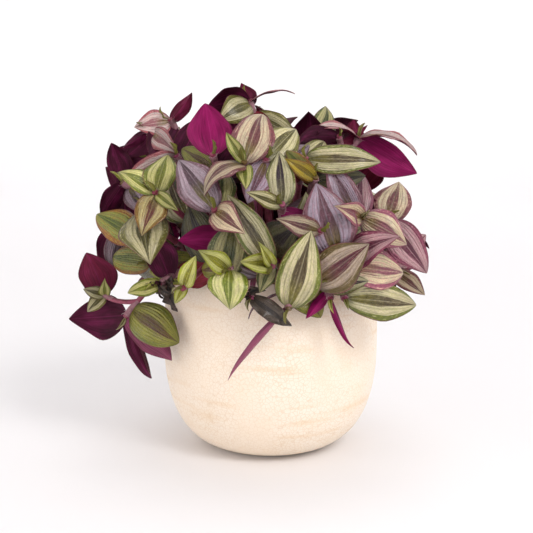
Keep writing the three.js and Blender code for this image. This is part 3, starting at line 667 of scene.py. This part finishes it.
def blade_template():
    """A flat leaf of unit size, its two faces sewn together at the margins."""
    bm = bmesh.new()
    uv = bm.loops.layers.uv.new("leaf")
    bmesh.ops.create_grid(bm, x_segments=BLADE_COLUMNS, y_segments=BLADE_ROWS, size=0.5)
    for vert in bm.verts:
        vert.co = (math.sin(vert.co.x * math.pi), eased(vert.co.y + 0.5, ROW_ARC), 1)
    for face in bm.faces:
        for loop in face.loops:
            loop[uv].uv = loop.vert.co.xy
    doubled = bmesh.ops.duplicate(bm, geom=bm.faces[:] + bm.verts[:] + bm.edges[:])
    under = [part for part in doubled["geom"] if isinstance(part, bmesh.types.BMFace)]
    bmesh.ops.reverse_faces(bm, faces=under)
    for face in under:
        face.material_index = UNDER_SLOT
    for face in bm.faces:
        face.smooth = True
    for vert in {vert for face in under for vert in face.verts}:
        vert.co.z = -1
    for vert in bm.verts:
        inward = min(1 - abs(vert.co.x), vert.co.y, 1 - vert.co.y)
        vert.co.z = 0 if inward < MARGIN_REACH else vert.co.z
        vert.co.x *= blade_width(min(max(vert.co.y, 0.0), 1.0))
    bmesh.ops.remove_doubles(bm, verts=bm.verts[:], dist=SEAM_JOIN)
    for edge in bm.edges:
        if all(vert.co.z == 0 for vert in edge.verts):
            edge.smooth = False
    mesh = bpy.data.meshes.new("blade")
    bm.to_mesh(mesh)
    bm.free()
    return mesh


def spots_of(mesh):
    flat = np.empty(len(mesh.vertices) * 3)
    mesh.vertices.foreach_get("co", flat)
    return flat.reshape(-1, 3)


def is_spike(leaf):
    return leaf.width < SPIKE * leaf.length


def slimness(leaf):
    """How narrow a spike, a dried leaf or a blunt one is beside the others."""
    if is_spike(leaf):
        return 0.62
    if leaf.look == "dry":
        return 0.8
    return 0.9 if leaf.look in BLUNT_LOOKS else 1


def new_habit(leaf):
    """How one leaf departs from the even form: waved, curled, twisted, bent aside."""
    dried = leaf.look == "dry"
    return SimpleNamespace(
        ripple=3.6 if dried else chance.uniform(0.3, 0.9),
        ripples=chance.uniform(1.2, 2.8) + dried,
        phase=chance.uniform(0, 6),
        curl=chance.uniform(0.0, 0.14) + 0.12 * is_spike(leaf),
        cup=chance.uniform(0.28, 0.54),
        twist=math.radians(chance.uniform(-22, 22)) * (3 if dried else 1),
        sway=chance.uniform(-0.06, 0.06),
        slim=slimness(leaf),
        point=0.12 if leaf.look in BLUNT_LOOKS else chance.uniform(0.22, 0.42),
    )


def blade_spots(leaf, habit):
    """Where the corners of the flat leaf lie on the grown one."""
    x, v, face = BLADE_SPOTS.T
    v = np.clip(v, 0, 1)
    width = np.maximum(blade_width(v), 1e-6)
    u = np.clip(x / width, -1, 1)
    half = leaf.arch / 2
    slope = half - 2 * half * v
    scale = leaf.length / (2 * math.sin(half))
    forward = (math.sin(half) - np.sin(slope)) * scale
    rise = (np.cos(slope) - math.cos(half)) * scale
    drawn = np.clip((v - DRAWN_FROM) / (1 - DRAWN_FROM), 0, 1)
    outline = leaf.spread * (1 - drawn) ** habit.point * habit.slim
    outline *= 1 + OUTLINE_WAVE * np.sin(v * 8 + habit.phase * 3 + (u > 0) * 2.2)
    reach = leaf.width / 2 * x * outline
    soft = (np.sqrt(u * u + KEEL_ROUND) - KEEL_LOW) / KEEL_SPAN
    lift = leaf.width / 2 * width * (soft * math.sin(leaf.fold) * KEEL - habit.cup * u * u)
    wave = np.sin(v * habit.ripples * math.tau + habit.phase + (u > 0) * 1.7)
    lift += habit.ripple * wave * np.abs(u) ** 3 * np.sin(v * math.pi)
    rib = MIDRIB * np.exp(-((u / MIDRIB_REACH) ** 2)) * (1 - v)
    lift += face * (BLADE_THICK * (1 - MARGIN_THIN * u * u) + rib * (face < 0))
    past = np.maximum(v - CURLED_FROM, 0) / (1 - CURLED_FROM)
    rise -= habit.curl * leaf.length * past**2
    chord, normal = (np.array(axis) for axis in leaf.axes)
    side = np.cross(normal, chord)
    facing = np.outer(np.cos(slope), normal) - np.outer(np.sin(slope), chord)
    turn = (habit.twist * (v - 0.25))[:, None]
    aside = side * np.cos(turn) + facing * np.sin(turn)
    facing = facing * np.cos(turn) - side * np.sin(turn)
    spots = np.array(leaf.base) + np.outer(forward, chord) + np.outer(rise, normal)
    spots += np.outer(habit.sway * leaf.length * v**2, side)
    return spots + aside * (reach * math.cos(leaf.fold))[:, None] + facing * lift[:, None]


# ---- stems, sheaths and hairs as round rods ----

ROD_ROUND = 2  # how finely a stem or a sheath is rounded
LINE_STEP = 3
JOINT_REACH = 2.6
JOINT_SWELL = 0.35
STEM_TAPER = 0.3
# each ring of a sheath: how far below the leaf's base, how far out of the stem
SHEATH = ((-0.5, 0.9), (1.5, 0.75), (4, 0.5), (7, 0.1))
SHEATH_HOLD = 0.86  # the share of its stem's radius that a sheath is drawn round
HAIRS = 7
HAIR_RADIUS = 0.07


def rod(lines, sides):
    """Round rods along lines of (point, radius), as one mesh in millimetres."""
    curve = bpy.data.curves.new("rods", "CURVE")
    curve.dimensions = "3D"
    curve.bevel_depth = 1
    curve.bevel_resolution = sides
    curve.use_fill_caps = True
    for line in lines:
        spline = curve.splines.new("POLY")
        spline.points.add(len(line) - 1)
        for spot, (point, radius) in zip(spline.points, line):
            spot.co = (*point, 1)
            spot.radius = radius
    holder = bpy.data.objects.new("rods", curve)
    mesh = bpy.data.meshes.new_from_object(holder)
    bpy.data.objects.remove(holder)
    bpy.data.curves.remove(curve)
    for face in mesh.polygons:
        face.use_smooth = True
        face.material_index = STEM_SLOT
    return mesh


def stem_line(parts, radius, joints):
    """Points along a stem, thicker where a leaf grows, thinner to its end."""
    points = spaced_points(parts, LINE_STEP)
    line = []
    for i, point in enumerate(points):
        share = i / (len(points) - 1)
        nearness = ((point - joint).length / JOINT_REACH for joint in joints)
        swell = JOINT_SWELL * min(sum(math.exp(-(near**2)) for near in nearness), 1)
        line.append((point, radius * (1.06 - STEM_TAPER * share**3) + swell))
    return line


def sheath_line(corners, base_back, radius):
    """The sleeve with which a leaf holds the stem below its base."""
    return [(point_back(corners, base_back + step), radius + out) for step, out in SHEATH]


def sheath_hairs(sleeve):
    """Fine hairs that stand round the open end of a sheath."""
    (end, radius), (inner, _) = sleeve[:2]
    up = (end - inner).normalized()
    side = up.orthogonal().normalized()
    hairs = []
    for i in range(HAIRS):
        out = about(side, up, 360 / HAIRS * i + chance.uniform(-20, 20))
        foot = end + out * (radius - 0.1)
        lean = (out + up * chance.uniform(0.6, 1.6)).normalized()
        far = foot + lean * chance.uniform(1.2, 2.2)
        hairs.append([(foot, HAIR_RADIUS), (far, HAIR_RADIUS / 3)])
    return hairs


# ---- paints ----

VEINS = 27  # radians of the veins' wave from the middle to the margin
RIDGES = 44
RIDGE_HEIGHT = 0.2


def tone(red, green, blue):
    """A colour as a screen shows it, made into the linear one that a shader takes."""
    def linear(value):
        share = value / 255
        return share / 12.92 if share <= 0.04045 else ((share + 0.055) / 1.055) ** 2.4

    return (linear(red), linear(green), linear(blue), 1.0)


class Socket:
    """What one socket of a material gives. Arithmetic on it adds Math nodes."""

    def __init__(self, paint, out):
        self.paint = paint
        self.out = out

    def math(self, operation, *others):
        return self.paint.node("Math", {"operation": operation}, [self, *others])

    def __add__(self, other):
        return self.math("ADD", other)

    __radd__ = __add__

    def __sub__(self, other):
        return self.math("SUBTRACT", other)

    def __rsub__(self, other):
        return self.paint.node("Math", {"operation": "SUBTRACT"}, [other, self])

    def __mul__(self, other):
        return self.math("MULTIPLY", other)

    __rmul__ = __mul__

    def __pow__(self, other):
        return self.math("POWER", other)

    def __abs__(self):
        return self.math("ABSOLUTE")

    def step(self, low, high):
        """0 below low, 1 above high, and smooth between."""
        settings = {"interpolation_type": "SMOOTHSTEP"}
        return self.paint.node("MapRange", settings, [self, low, high])


class Paint:
    """A material under construction."""

    def __init__(self, name):
        self.material = bpy.data.materials.new(name)
        self.material.use_nodes = True
        self.tree = self.material.node_tree
        self.shader = self.tree.nodes["Principled BSDF"]

    def node(self, kind, settings=None, values=None, output=0):
        """A node of a kind: its settings first, then its sockets by place or name."""
        node = self.tree.nodes.new("ShaderNode" + kind)
        for key, value in (settings or {}).items():
            setattr(node, key, value)
        pairs = values.items() if isinstance(values, dict) else enumerate(values or [])
        for key, value in pairs:
            self.give(node, key, value)
        return Socket(self, self.socket(node.outputs, output))

    def socket(self, sockets, key):
        if isinstance(key, int):
            return sockets[key]
        return next(one for one in sockets if key in (one.identifier, one.name))

    def give(self, node, key, value):
        socket = self.socket(node.inputs, key)
        if isinstance(value, Socket):
            self.tree.links.new(value.out, socket)
        else:
            socket.default_value = value

    def set(self, **values):
        for key, value in values.items():
            self.give(self.shader, key.replace("_", " "), value)

    def mix(self, share, one, other):
        values = {"Factor_Float": share, "A_Color": one, "B_Color": other}
        return self.node("Mix", {"data_type": "RGBA"}, values, "Result_Color")

    def scaled(self, colour, share):
        values = {"Vector": colour, "Scale": share}
        return self.node("VectorMath", {"operation": "SCALE"}, values)

    def vector(self, x, y, z):
        return self.node("CombineXYZ", None, [x, y, z])

    def place(self):
        """Object coordinates, in metres."""
        return self.node("TexCoord", None, None, "Object")

    def noise(self, where, scale, detail=2):
        """Noise from about -0.5 to 0.5."""
        values = {"Vector": where, "Scale": scale, "Detail": detail}
        return self.node("TexNoise", None, values) - 0.5

    def bump(self, height, distance, strength=1.0):
        values = {"Height": height, "Distance": distance, "Strength": strength}
        self.set(Normal=self.node("Bump", None, values))

    def attribute(self, name, output="Color"):
        return self.node("Attribute", {"attribute_name": name}, None, output)


def leaf_grain(paint):
    """Across the leaf from -1 to 1, from its base to its tip, its noise and its ridges."""
    where = paint.node("UVMap", {"uv_map": "leaf"})
    across = paint.node("SeparateXYZ", None, [where], "X")
    along = paint.node("SeparateXYZ", None, [where], "Y")
    number = paint.attribute("grain", "Fac")

    def noise_of(wide, long, apart, detail=2):
        """Noise so fine across and along the leaf, and different on each leaf."""
        place = paint.vector(across * wide, along * long, number * apart)
        return paint.noise(place, 1, detail)

    return across, along, noise_of, (across * RIDGES).math("SINE") * RIDGE_HEIGHT


def upper_paint():
    paint = Paint("leaf_upper")
    across, along, noise_of, ridges = leaf_grain(paint)
    off = abs(across)
    wobble = noise_of(1.4, 3, 40)
    cloud = noise_of(1.6, 2.4, 20)
    streak = noise_of(9, 1.4, 70)
    thread = noise_of(17, 2.5, 50, 3)
    speck = noise_of(11, 24, 90, 3)
    drawn = wobble * 0.22 + streak * 0.34
    body = (along * (1 - along) * 4) ** 0.5
    heart_edge = body * (0.36 - along * 0.18) + drawn
    in_heart = (heart_edge - off).step(-0.04, 0.05)
    in_margin = (off + drawn).step(0.68, 0.78)
    band, heart, margin, base = (paint.attribute(name) for name in COLOUR_NAMES[:4])
    colour = paint.mix(cloud.step(0.02, 0.3) * 0.3, band, tone(*FLUSH_TONE))
    dots = (speck * 1.6 + thread * 1.2).step(0.0, 0.3)
    colour = paint.mix(dots * 0.62, colour, margin)
    veins = (across * VEINS + wobble * 6).math("SINE").step(0.2, 1.0)
    colour = paint.mix(veins * 0.4, colour, margin)
    colour = paint.mix(in_heart, colour, paint.scaled(heart, 0.75))
    from_base = (along + wobble * 0.4).step(0.5, 0.12)
    colour = paint.mix(in_heart * from_base * 0.6, colour, base)
    colour = paint.mix(in_margin, colour, margin)
    at_base = along.step(0.2, 0.0)
    colour = paint.mix(at_base * 0.5, colour, margin)
    # painted glints: specks lightened towards the band colour, fewer in the heart
    painted_glints = (thread * 1.4 + speck * 1.2).step(0.08, 0.36)
    colour = paint.mix(painted_glints * (0.42 - in_heart * 0.3), colour, band)
    rib = off.step(0.045, 0.01) * 0.3
    colour = paint.mix(rib, colour, band)
    colour = paint.mix(off.step(0.94, 0.985) * 0.8, colour, tone(*EDGE_TONE))
    # painted shade: darker at the base and lighter towards the tip, with broad blotches of
    # light and shade; the threads and specks are the leaf's own fine grain
    shade = 0.94 + thread * 1.4 + speck * 1.2 + wobble * 0.8 + along * 0.2 - at_base * 0.3
    colour = paint.scaled(colour, shade)
    paint.set(Base_Color=colour, Roughness=0.38 + speck * 0.5, Specular_IOR_Level=0.5)
    paint.set(Coat_Weight=0.3, Coat_Roughness=0.22)
    paint.bump(thread + speck + ridges, 0.0011, 0.8)
    return paint.material


def under_paint():
    paint = Paint("leaf_under")
    across, along, noise_of, ridges = leaf_grain(paint)
    off = abs(across)
    streak = noise_of(12, 1.5, 70, 3)
    thread = noise_of(18, 4, 50, 3)
    cloud = noise_of(2, 2.5, 30)
    under = paint.attribute("under")
    # painted sheen: a lighter magenta along the raised midrib and in soft patches
    painted_sheen = paint.mix(0.3, under, tone(176, 56, 124))
    colour = paint.mix(off.step(0.05, 0.01) * 0.5, under, painted_sheen)
    colour = paint.mix((cloud + 0.1).step(0, 0.4) * 0.5, colour, painted_sheen)
    colour = paint.mix(off.step(0.95, 0.99) * 0.5, colour, tone(96, 56, 36))
    # painted shade: darker towards the margins and at the base, lighter in the patches of
    # painted sheen; the streaks and threads are the leaf's own grain
    shade = 0.88 + streak * 1.2 + thread * 0.9 + cloud * 0.7 + along * 0.25 - off * 0.22
    colour = paint.scaled(colour, shade)
    paint.set(Base_Color=colour, Roughness=0.5 + streak * 0.2, Specular_IOR_Level=0.22)
    paint.set(Specular_Tint=(1.0, 0.55, 0.75, 1.0))
    paint.bump(thread + ridges, 0.0004, 0.5)
    return paint.material


def stem_paint():
    paint = Paint("stem")
    where = paint.place()
    cloud = paint.noise(where, 160)
    fleck = paint.noise(where, 900, 3)
    colour = paint.mix(cloud.step(-0.1, 0.2), paint.attribute("band"), paint.attribute("heart"))
    paint.set(Base_Color=paint.scaled(colour, 1 + fleck * 0.6), Roughness=0.45 + fleck * 0.2)
    paint.bump(fleck, 0.0005, 0.5)
    return paint.material


def glaze_paint():
    paint = Paint("crackle_glaze")
    where = paint.place()
    warp = paint.node("TexNoise", None, {"Vector": where, "Scale": 130.0}, "Color")
    moved = paint.scaled(warp, 0.0016)
    bent = paint.node("VectorMath", {"operation": "ADD"}, [where, moved])

    def cracks(scale, width):
        settings = {"feature": "DISTANCE_TO_EDGE"}
        values = {"Vector": bent, "Scale": scale}
        return paint.node("TexVoronoi", settings, values, "Distance").step(width, 0.0)

    patch = paint.noise(where, 22, 2)
    cloud = paint.noise(where, 60, 3)
    wide = cracks(380, 0.11) * (0.6 + patch * 2.0)
    fine = cracks(900, 0.1) * 0.4
    net = (wide + fine).math("MINIMUM", 1)
    around, deep, height = (paint.node("SeparateXYZ", None, [where], axis) for axis in "XYZ")
    layer = paint.noise(paint.vector(around * 14, deep * 14, height * 150), 1, 3)
    smear = (layer + patch * 0.5).step(0.02, 0.3)
    specks = (paint.noise(where, 420, 1) + patch * 0.4).step(0.3, 0.42)
    colour = paint.mix(patch.step(-0.25, 0.3), tone(250, 233, 212), tone(252, 241, 226))
    colour = paint.mix(cloud.step(-0.1, 0.3) * 0.3, colour, tone(247, 224, 194))
    colour = paint.mix(smear * 0.55, colour, tone(240, 210, 172))
    colour = paint.mix(net * 0.5, colour, tone(222, 190, 150))
    colour = paint.mix(specks * 0.45, colour, tone(214, 168, 116))
    paint.set(Base_Color=colour, Roughness=0.4 + cloud * 0.15 + net * 0.15)
    paint.bump(cloud * 0.6 - net * 0.5, 0.0003, 0.5)
    return paint.material


def soil_paint():
    paint = Paint("soil")
    where = paint.place()
    clod = paint.noise(where, 180, 4)
    fleck = paint.noise(where, 700, 3)
    colour = paint.mix(clod.step(-0.2, 0.25), tone(38, 28, 22), tone(74, 54, 40))
    colour = paint.mix(fleck.step(0.12, 0.3), colour, tone(120, 96, 72))
    paint.set(Base_Color=colour, Roughness=0.92)
    paint.bump(clod + fleck * 0.5, 0.002, 0.8)
    return paint.material


def floor_paint():
    paint = Paint("pale_floor")
    paint.set(Base_Color=tone(244, 242, 243), Roughness=0.65)
    return paint.material


# ---- the pieces ----

LATHE_JOIN = 1e-6  # metres between the ends of a turn that are made one
POT_SIDES = 128
FOOT_HOLLOW = 0.6  # how far the middle of the foot is raised off the table
# the radii between which the foot rests on the table
FOOT_RING = (POT_FOOT - 2, POT_FOOT - 0.6)
LIP_STEPS = 12
WALL_RINGS = 26
WALL_ARC = 0.6 * math.pi
THROWING_RINGS = 0.12  # how far the potter's rings stand out of the wall
THROWING_PITCH = 0.9  # radians of their wave for a millimetre of height
DRIFT_SIZE = 34
SOIL_SIDES = 96
SOIL_RINGS = 30
SOIL_GAP = 0.3
CLOD_HEIGHT = 1.1
CLOD_SIZE = 7
CRUMB_SIZE = 2.6
YOUNG_LENGTH = 5  # times the radius of its stem
YOUNG_WIDTH = 0.42
YOUNG_BEND = (30, 52)


def placed(name, data):
    """A new object in the scene."""
    thing = bpy.data.objects.new(name, data)
    bpy.context.scene.collection.objects.link(thing)
    return thing


def add_piece(name, mesh, node):
    piece = placed(name, mesh)
    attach(piece, "root")
    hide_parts(node)


def mesh_of(bm, name, *paints):
    for face in bm.faces:
        face.smooth = True
    mesh = bpy.data.meshes.new(name)
    bm.to_mesh(mesh)
    bm.free()
    for paint in paints:
        mesh.materials.append(paint)
    return mesh


def pot_radius(z, inset=0):
    if z <= POT_WIDEST:
        floor = POT_FLOOR if inset else 0
        drop = min(1, (POT_WIDEST - z) / (POT_WIDEST - floor))
        belly = POT_RADIUS - inset - POT_FOOT
        return POT_FOOT + belly * (1 - drop**BELLY_POWER) ** (1 / BELLY_POWER)
    climb = max(0, z - POT_SHOULDER) / (POT_HEIGHT - POT_SHOULDER)
    return POT_RADIUS - inset - (POT_RADIUS - POT_RIM) * climb**SHOULDER_POWER


def turned(profile, sides):
    """A bmesh turned round the upright axis from a line of (radius, height)."""
    bm = bmesh.new()
    verts = [bm.verts.new((radius * MM, 0, z * MM)) for radius, z in profile]
    edges = [bm.edges.new(pair) for pair in zip(verts, verts[1:])]
    bmesh.ops.spin(
        bm, geom=verts + edges, axis=(0, 0, 1), cent=(0, 0, 0), dvec=(0, 0, 0),
        angle=math.tau, steps=sides, use_merge=True, use_normal_flip=False,
    )
    bmesh.ops.remove_doubles(bm, verts=bm.verts[:], dist=LATHE_JOIN)
    bmesh.ops.recalc_face_normals(bm, faces=bm.faces[:])
    return bm


def wall(bottom, top, inset):
    """The pot's profile from one height to another, so far inside its outer face."""
    shares = [eased(i / WALL_RINGS, WALL_ARC) for i in range(WALL_RINGS + 1)]
    heights = [bottom + (top - bottom) * share for share in shares]
    return [(pot_radius(z, inset), z) for z in heights]


def build_pot():
    lip = POT_WALL / 2
    lip_height = POT_HEIGHT - lip
    middle = pot_radius(lip_height) - lip
    profile = [(0, FOOT_HOLLOW), (POT_FOOT - 3, FOOT_HOLLOW)]
    profile += [(radius, 0) for radius in FOOT_RING]
    profile += wall(0.3, lip_height, 0)
    for i in range(1, LIP_STEPS):
        angle = math.pi * i / LIP_STEPS
        profile.append((middle + lip * math.cos(angle), lip_height + lip * math.sin(angle)))
    profile += wall(POT_FLOOR, lip_height, POT_WALL)[::-1]
    profile += [(POT_FOOT - 4, POT_FLOOR), (0, POT_FLOOR)]
    bm = turned(profile, POT_SIDES)
    for vert in bm.verts:
        out = Vector((vert.co.x, vert.co.y, 0))
        if out.length > POT_FOOT * MM:
            turn = math.atan2(out.y, out.x)
            wave = math.sin(vert.co.z / MM * THROWING_PITCH + 0.7 * math.sin(turn * 2))
            drift = noise.noise(vert.co / (DRIFT_SIZE * MM))
            vert.co += out.normalized() * ((wave * 0.4 + drift) * THROWING_RINGS * MM)
    add_piece("glazed_pot", mesh_of(bm, "glazed_pot", glaze_paint()), "pot")


def build_soil():
    inside = POT_WALL + SOIL_GAP
    profile = [(0, POT_FLOOR + SOIL_GAP), (POT_FOOT - 0.4, POT_FLOOR + SOIL_GAP)]
    profile += [(pot_radius(z, inside), z) for z in range(10, SOIL_TOP - 1, 6)]
    profile.append((pot_radius(SOIL_TOP, inside), SOIL_TOP - 0.5))
    for i in range(1, SOIL_RINGS + 1):
        radius = (1 - i / SOIL_RINGS) * pot_radius(SOIL_TOP, inside)
        profile.append((radius, SOIL_TOP + SOIL_CROWN * i / SOIL_RINGS))
    bm = turned(profile, SOIL_SIDES)
    for vert in bm.verts:
        if vert.co.z > (SOIL_TOP - 0.1) * MM:
            clod = noise.noise(vert.co / (CLOD_SIZE * MM))
            crumb = noise.noise(vert.co / (CRUMB_SIZE * MM)) / 2
            vert.co.z += (clod + crumb) * CLOD_HEIGHT * MM
    add_piece("potting_soil", mesh_of(bm, "potting_soil", soil_paint()), "soil")


def give_looks(leaf, looks):
    leaf.spread = BLADE_SPREAD if leaf.look else INNER_SPREAD
    leaf.look = leaf.look or chance.choice(looks)
    leaf.under = leaf.under or chance.choice(BACK_UNDERS)


def young_leaf(corners, radius):
    """The folded young leaf, still closed, at the end of a stem."""
    heading = (corners[-1] - corners[-2]).normalized()
    look = chance.choice(YOUNG_LOOKS)
    turn = chance.uniform(0, 360)
    spread = about(heading.orthogonal().normalized(), heading, turn)
    axes = leaf_axes(heading + spread * 0.25, spread, 0)
    size = (radius * YOUNG_LENGTH, radius * YOUNG_LENGTH * YOUNG_WIDTH)
    return new_leaf(corners, 0.5, axes, size, YOUNG_BEND, look, "sprout")


def shade_of(colour, share, vivid=1.0, warmth=WARMTH):
    """A colour made lighter or darker, further from grey, and a little warmer."""
    grey = sum(colour) / 3
    parts = [(grey + (part - grey) * vivid) * share for part in colour]
    return tuple(max(2, min(255, part * warm)) for part, warm in zip(parts, warmth))


def leaf_colours(leaf):
    """The leaf's own colours, in the order of COLOUR_NAMES."""
    share = chance.uniform(0.88, 1.08)
    band, *darker = LOOKS[leaf.look]
    tones = [tone(*shade_of(band, share, BAND_VIVID, BAND_WARMTH))]
    tones += [tone(*shade_of(colour, share, VIVID)) for colour in darker]
    base = LOOKS["dry"][1] if leaf.look == "dry" else BASE_TONE
    tones += [tone(*shade_of(plain, share)) for plain in (base, UNDERSIDES[leaf.under])]
    return tones


def shoot_rods(leaves, stems):
    """The stems, sheaths and hairs of a shoot: lines, their colour, their roundness."""
    stem_tone = chance.choice(STEM_TONES)
    lines, sleeves = [], []
    for parts, corners, radius in stems:
        joints = [leaf.base for leaf in leaves if leaf.corners is corners]
        lines.append(stem_line(parts, radius, joints))
    for leaf in leaves:
        radius = STEM_RADIUS if leaf.corners is stems[0][1] else TWIG_RADIUS
        if leaf.back > 1:
            sleeves.append(sheath_line(leaf.corners, leaf.back, radius * SHEATH_HOLD))
    hairs = [hair for sleeve in sleeves for hair in sheath_hairs(sleeve)]
    yield lines, stem_tone, ROD_ROUND
    yield sleeves, SHEATH_TONE, ROD_ROUND
    yield hairs, HAIR_TONE, 0


def build_shoot(name, leaves, stems, paints):
    """One shoot: its leaves, stems, sheaths and hairs in a single mesh."""
    bm = bmesh.new()
    spots, colours, grains = [], [], []

    def add(mesh, where, tones, grain):
        bm.from_mesh(mesh)
        spots.append(where)
        colours.append(np.tile(np.array(tones), (len(where), 1, 1)))
        grains.append(np.full(len(where), grain))

    for leaf in leaves:
        tones, grain = leaf_colours(leaf), chance.random()
        add(BLADE, blade_spots(leaf, new_habit(leaf)), tones, grain)
    for rods, colour, sides in shoot_rods(leaves, stems):
        if rods:
            mesh = rod(rods, sides)
            dark = tone(*shade_of(colour, STEM_SHADE))
            tones = [tone(*colour)] + [dark] * (len(COLOUR_NAMES) - 1)
            add(mesh, spots_of(mesh), tones, 0.5)
            bpy.data.meshes.remove(mesh)
    mesh = mesh_of(bm, name + "_growth", *paints)
    mesh.vertices.foreach_set("co", (np.vstack(spots) * MM).ravel())
    every = np.vstack(colours)
    for i, colour_name in enumerate(COLOUR_NAMES):
        layer = mesh.attributes.new(colour_name, "FLOAT_COLOR", "POINT")
        layer.data.foreach_set("color", every[:, i].ravel())
    layer = mesh.attributes.new("grain", "FLOAT", "POINT")
    layer.data.foreach_set("value", np.concatenate(grains))
    mesh.update()
    add_piece(name + "_growth", mesh, name)


def build_shoots():
    paints = (upper_paint(), under_paint(), stem_paint())
    for name, root, tip, heading, rows, twigs in FRONT_SHOOTS + ring_shoots():
        tip = Vector(tip)
        parts = stem_parts(root, tip, heading)
        corners = spaced_points(parts, CURVED_STEP if tip.z < LOW_TIP else STEM_STEP)
        stems = [(parts, corners, STEM_RADIUS)]
        leaves = [front_leaf(corners, row) for row in rows]
        for back, twig_tip, twig_heading, twig_rows in twigs:
            twig = twig_parts(corners, back, Vector(twig_tip), twig_heading)
            twig_corners = spaced_points(twig, CURVED_STEP)
            stems.append((twig, twig_corners, TWIG_RADIUS))
            leaves += [front_leaf(twig_corners, row) for row in twig_rows]
        if rows:
            leaves += inner_leaves(corners)
        else:
            leaves += ring_leaves(corners, bearing(*heading))
        solid = solid_corners(name)
        grown = [leaf for leaf in leaves if fitted(solid, leaf)]
        for leaf in grown:
            give_looks(leaf, INNER_LOOKS if rows else BACK_LOOKS)
        grown += [front_leaf(corners, row) for row in SCRAPS.get(name, ())]
        grown += [young_leaf(stem_corners, radius) for _, stem_corners, radius in stems]
        build_shoot(name, grown, stems, paints)


# ---- floor, light and camera ----

STUDIO_REACH = 3.2  # metres from the middle to the wall
STUDIO_CURVE = 1.0
STUDIO_HEIGHT = 2.0
STUDIO_STEPS = 12
STUDIO_SIDES = 96
PLANT_MIDDLE = (0, 0, 0.14)
# softboxes: name, place, size, power, colour
SOFTBOXES = (
    ("key", (1.0, -1.3, 1.5), 0.8, 18, (1, 1, 1)),
    ("side", (-1.6, -0.9, 0.7), 1.4, 4, (1.0, 0.9, 0.8)),
    ("over", (0.0, 0.2, 2.0), 1.0, 8, (1, 1, 1)),
)
WALL_LAMPS = 4
WALL_LAMP_OUT = 1.7
WALL_LAMP_SIZE = 1.6
WALL_LAMP_POWER = 19
SKY = (1, 0.99, 0.995, 1)
SKY_STRENGTH = 0.42
FRAME_WIDTH = 533  # pixels, as the two widths below
FOCAL_WIDTH = 940
SHIFT_WIDTH = -4
SENSOR = 36
CAMERA_PLACE = (0, -0.65, 0.231)
CAMERA_DIP = 9.3  # degrees below level


def build_floor():
    """A round pale floor that curves up into a wall all the way round."""
    flat = STUDIO_REACH - STUDIO_CURVE
    profile = [(0, 0), (flat / 2, 0)]
    for i in range(STUDIO_STEPS + 1):
        angle = math.pi / 2 * i / STUDIO_STEPS
        run, rise = flat + STUDIO_CURVE * math.sin(angle), STUDIO_CURVE * (1 - math.cos(angle))
        profile.append((run, rise))
    profile.append((STUDIO_REACH, STUDIO_HEIGHT))
    bm = turned([(radius / MM, z / MM) for radius, z in profile], STUDIO_SIDES)
    if sum(face.normal.z for face in bm.faces) < 0:
        bmesh.ops.reverse_faces(bm, faces=bm.faces[:])
    placed("floor", mesh_of(bm, "floor", floor_paint()))


def add_softbox(name, place, size, power, colour=(1, 1, 1), aim=PLANT_MIDDLE):
    light = bpy.data.lights.new(name, "AREA")
    light.shape = "DISK"
    light.size = size
    light.energy = power
    light.color = colour
    holder = placed(name, light)
    holder.location = place
    ahead = Vector(aim) - Vector(place)
    holder.rotation_euler = ahead.to_track_quat("-Z", "Y").to_euler()


def build_light():
    for softbox in SOFTBOXES:
        add_softbox(*softbox)
    for i in range(WALL_LAMPS):
        out = bearing(360 / WALL_LAMPS * i, 0)
        place = out * WALL_LAMP_OUT + UP * STUDIO_HEIGHT
        spot = out * (STUDIO_REACH - 0.1) + UP * 0.5
        add_softbox(f"wall_{i + 1}", place, WALL_LAMP_SIZE, WALL_LAMP_POWER, aim=spot)
    world = bpy.data.worlds.new("studio")
    world.use_nodes = True
    sky = world.node_tree.nodes["Background"]
    sky.inputs["Color"].default_value = SKY
    sky.inputs["Strength"].default_value = SKY_STRENGTH
    bpy.context.scene.world = world


def build_camera():
    camera = bpy.data.cameras.new("camera")
    camera.sensor_width = SENSOR
    camera.lens = SENSOR * FOCAL_WIDTH / FRAME_WIDTH
    camera.shift_x = SHIFT_WIDTH / FRAME_WIDTH
    holder = placed("camera", camera)
    holder.location = CAMERA_PLACE
    holder.rotation_euler = Euler((math.radians(90 - CAMERA_DIP), 0, 0))
    bpy.context.scene.camera = holder
    bpy.context.scene.view_settings.view_transform = "Standard"


BLADE = blade_template()
BLADE_SPOTS = spots_of(BLADE)
build_pot()
build_soil()
build_shoots()
bpy.data.meshes.remove(BLADE)
build_floor()
build_light()
build_camera()
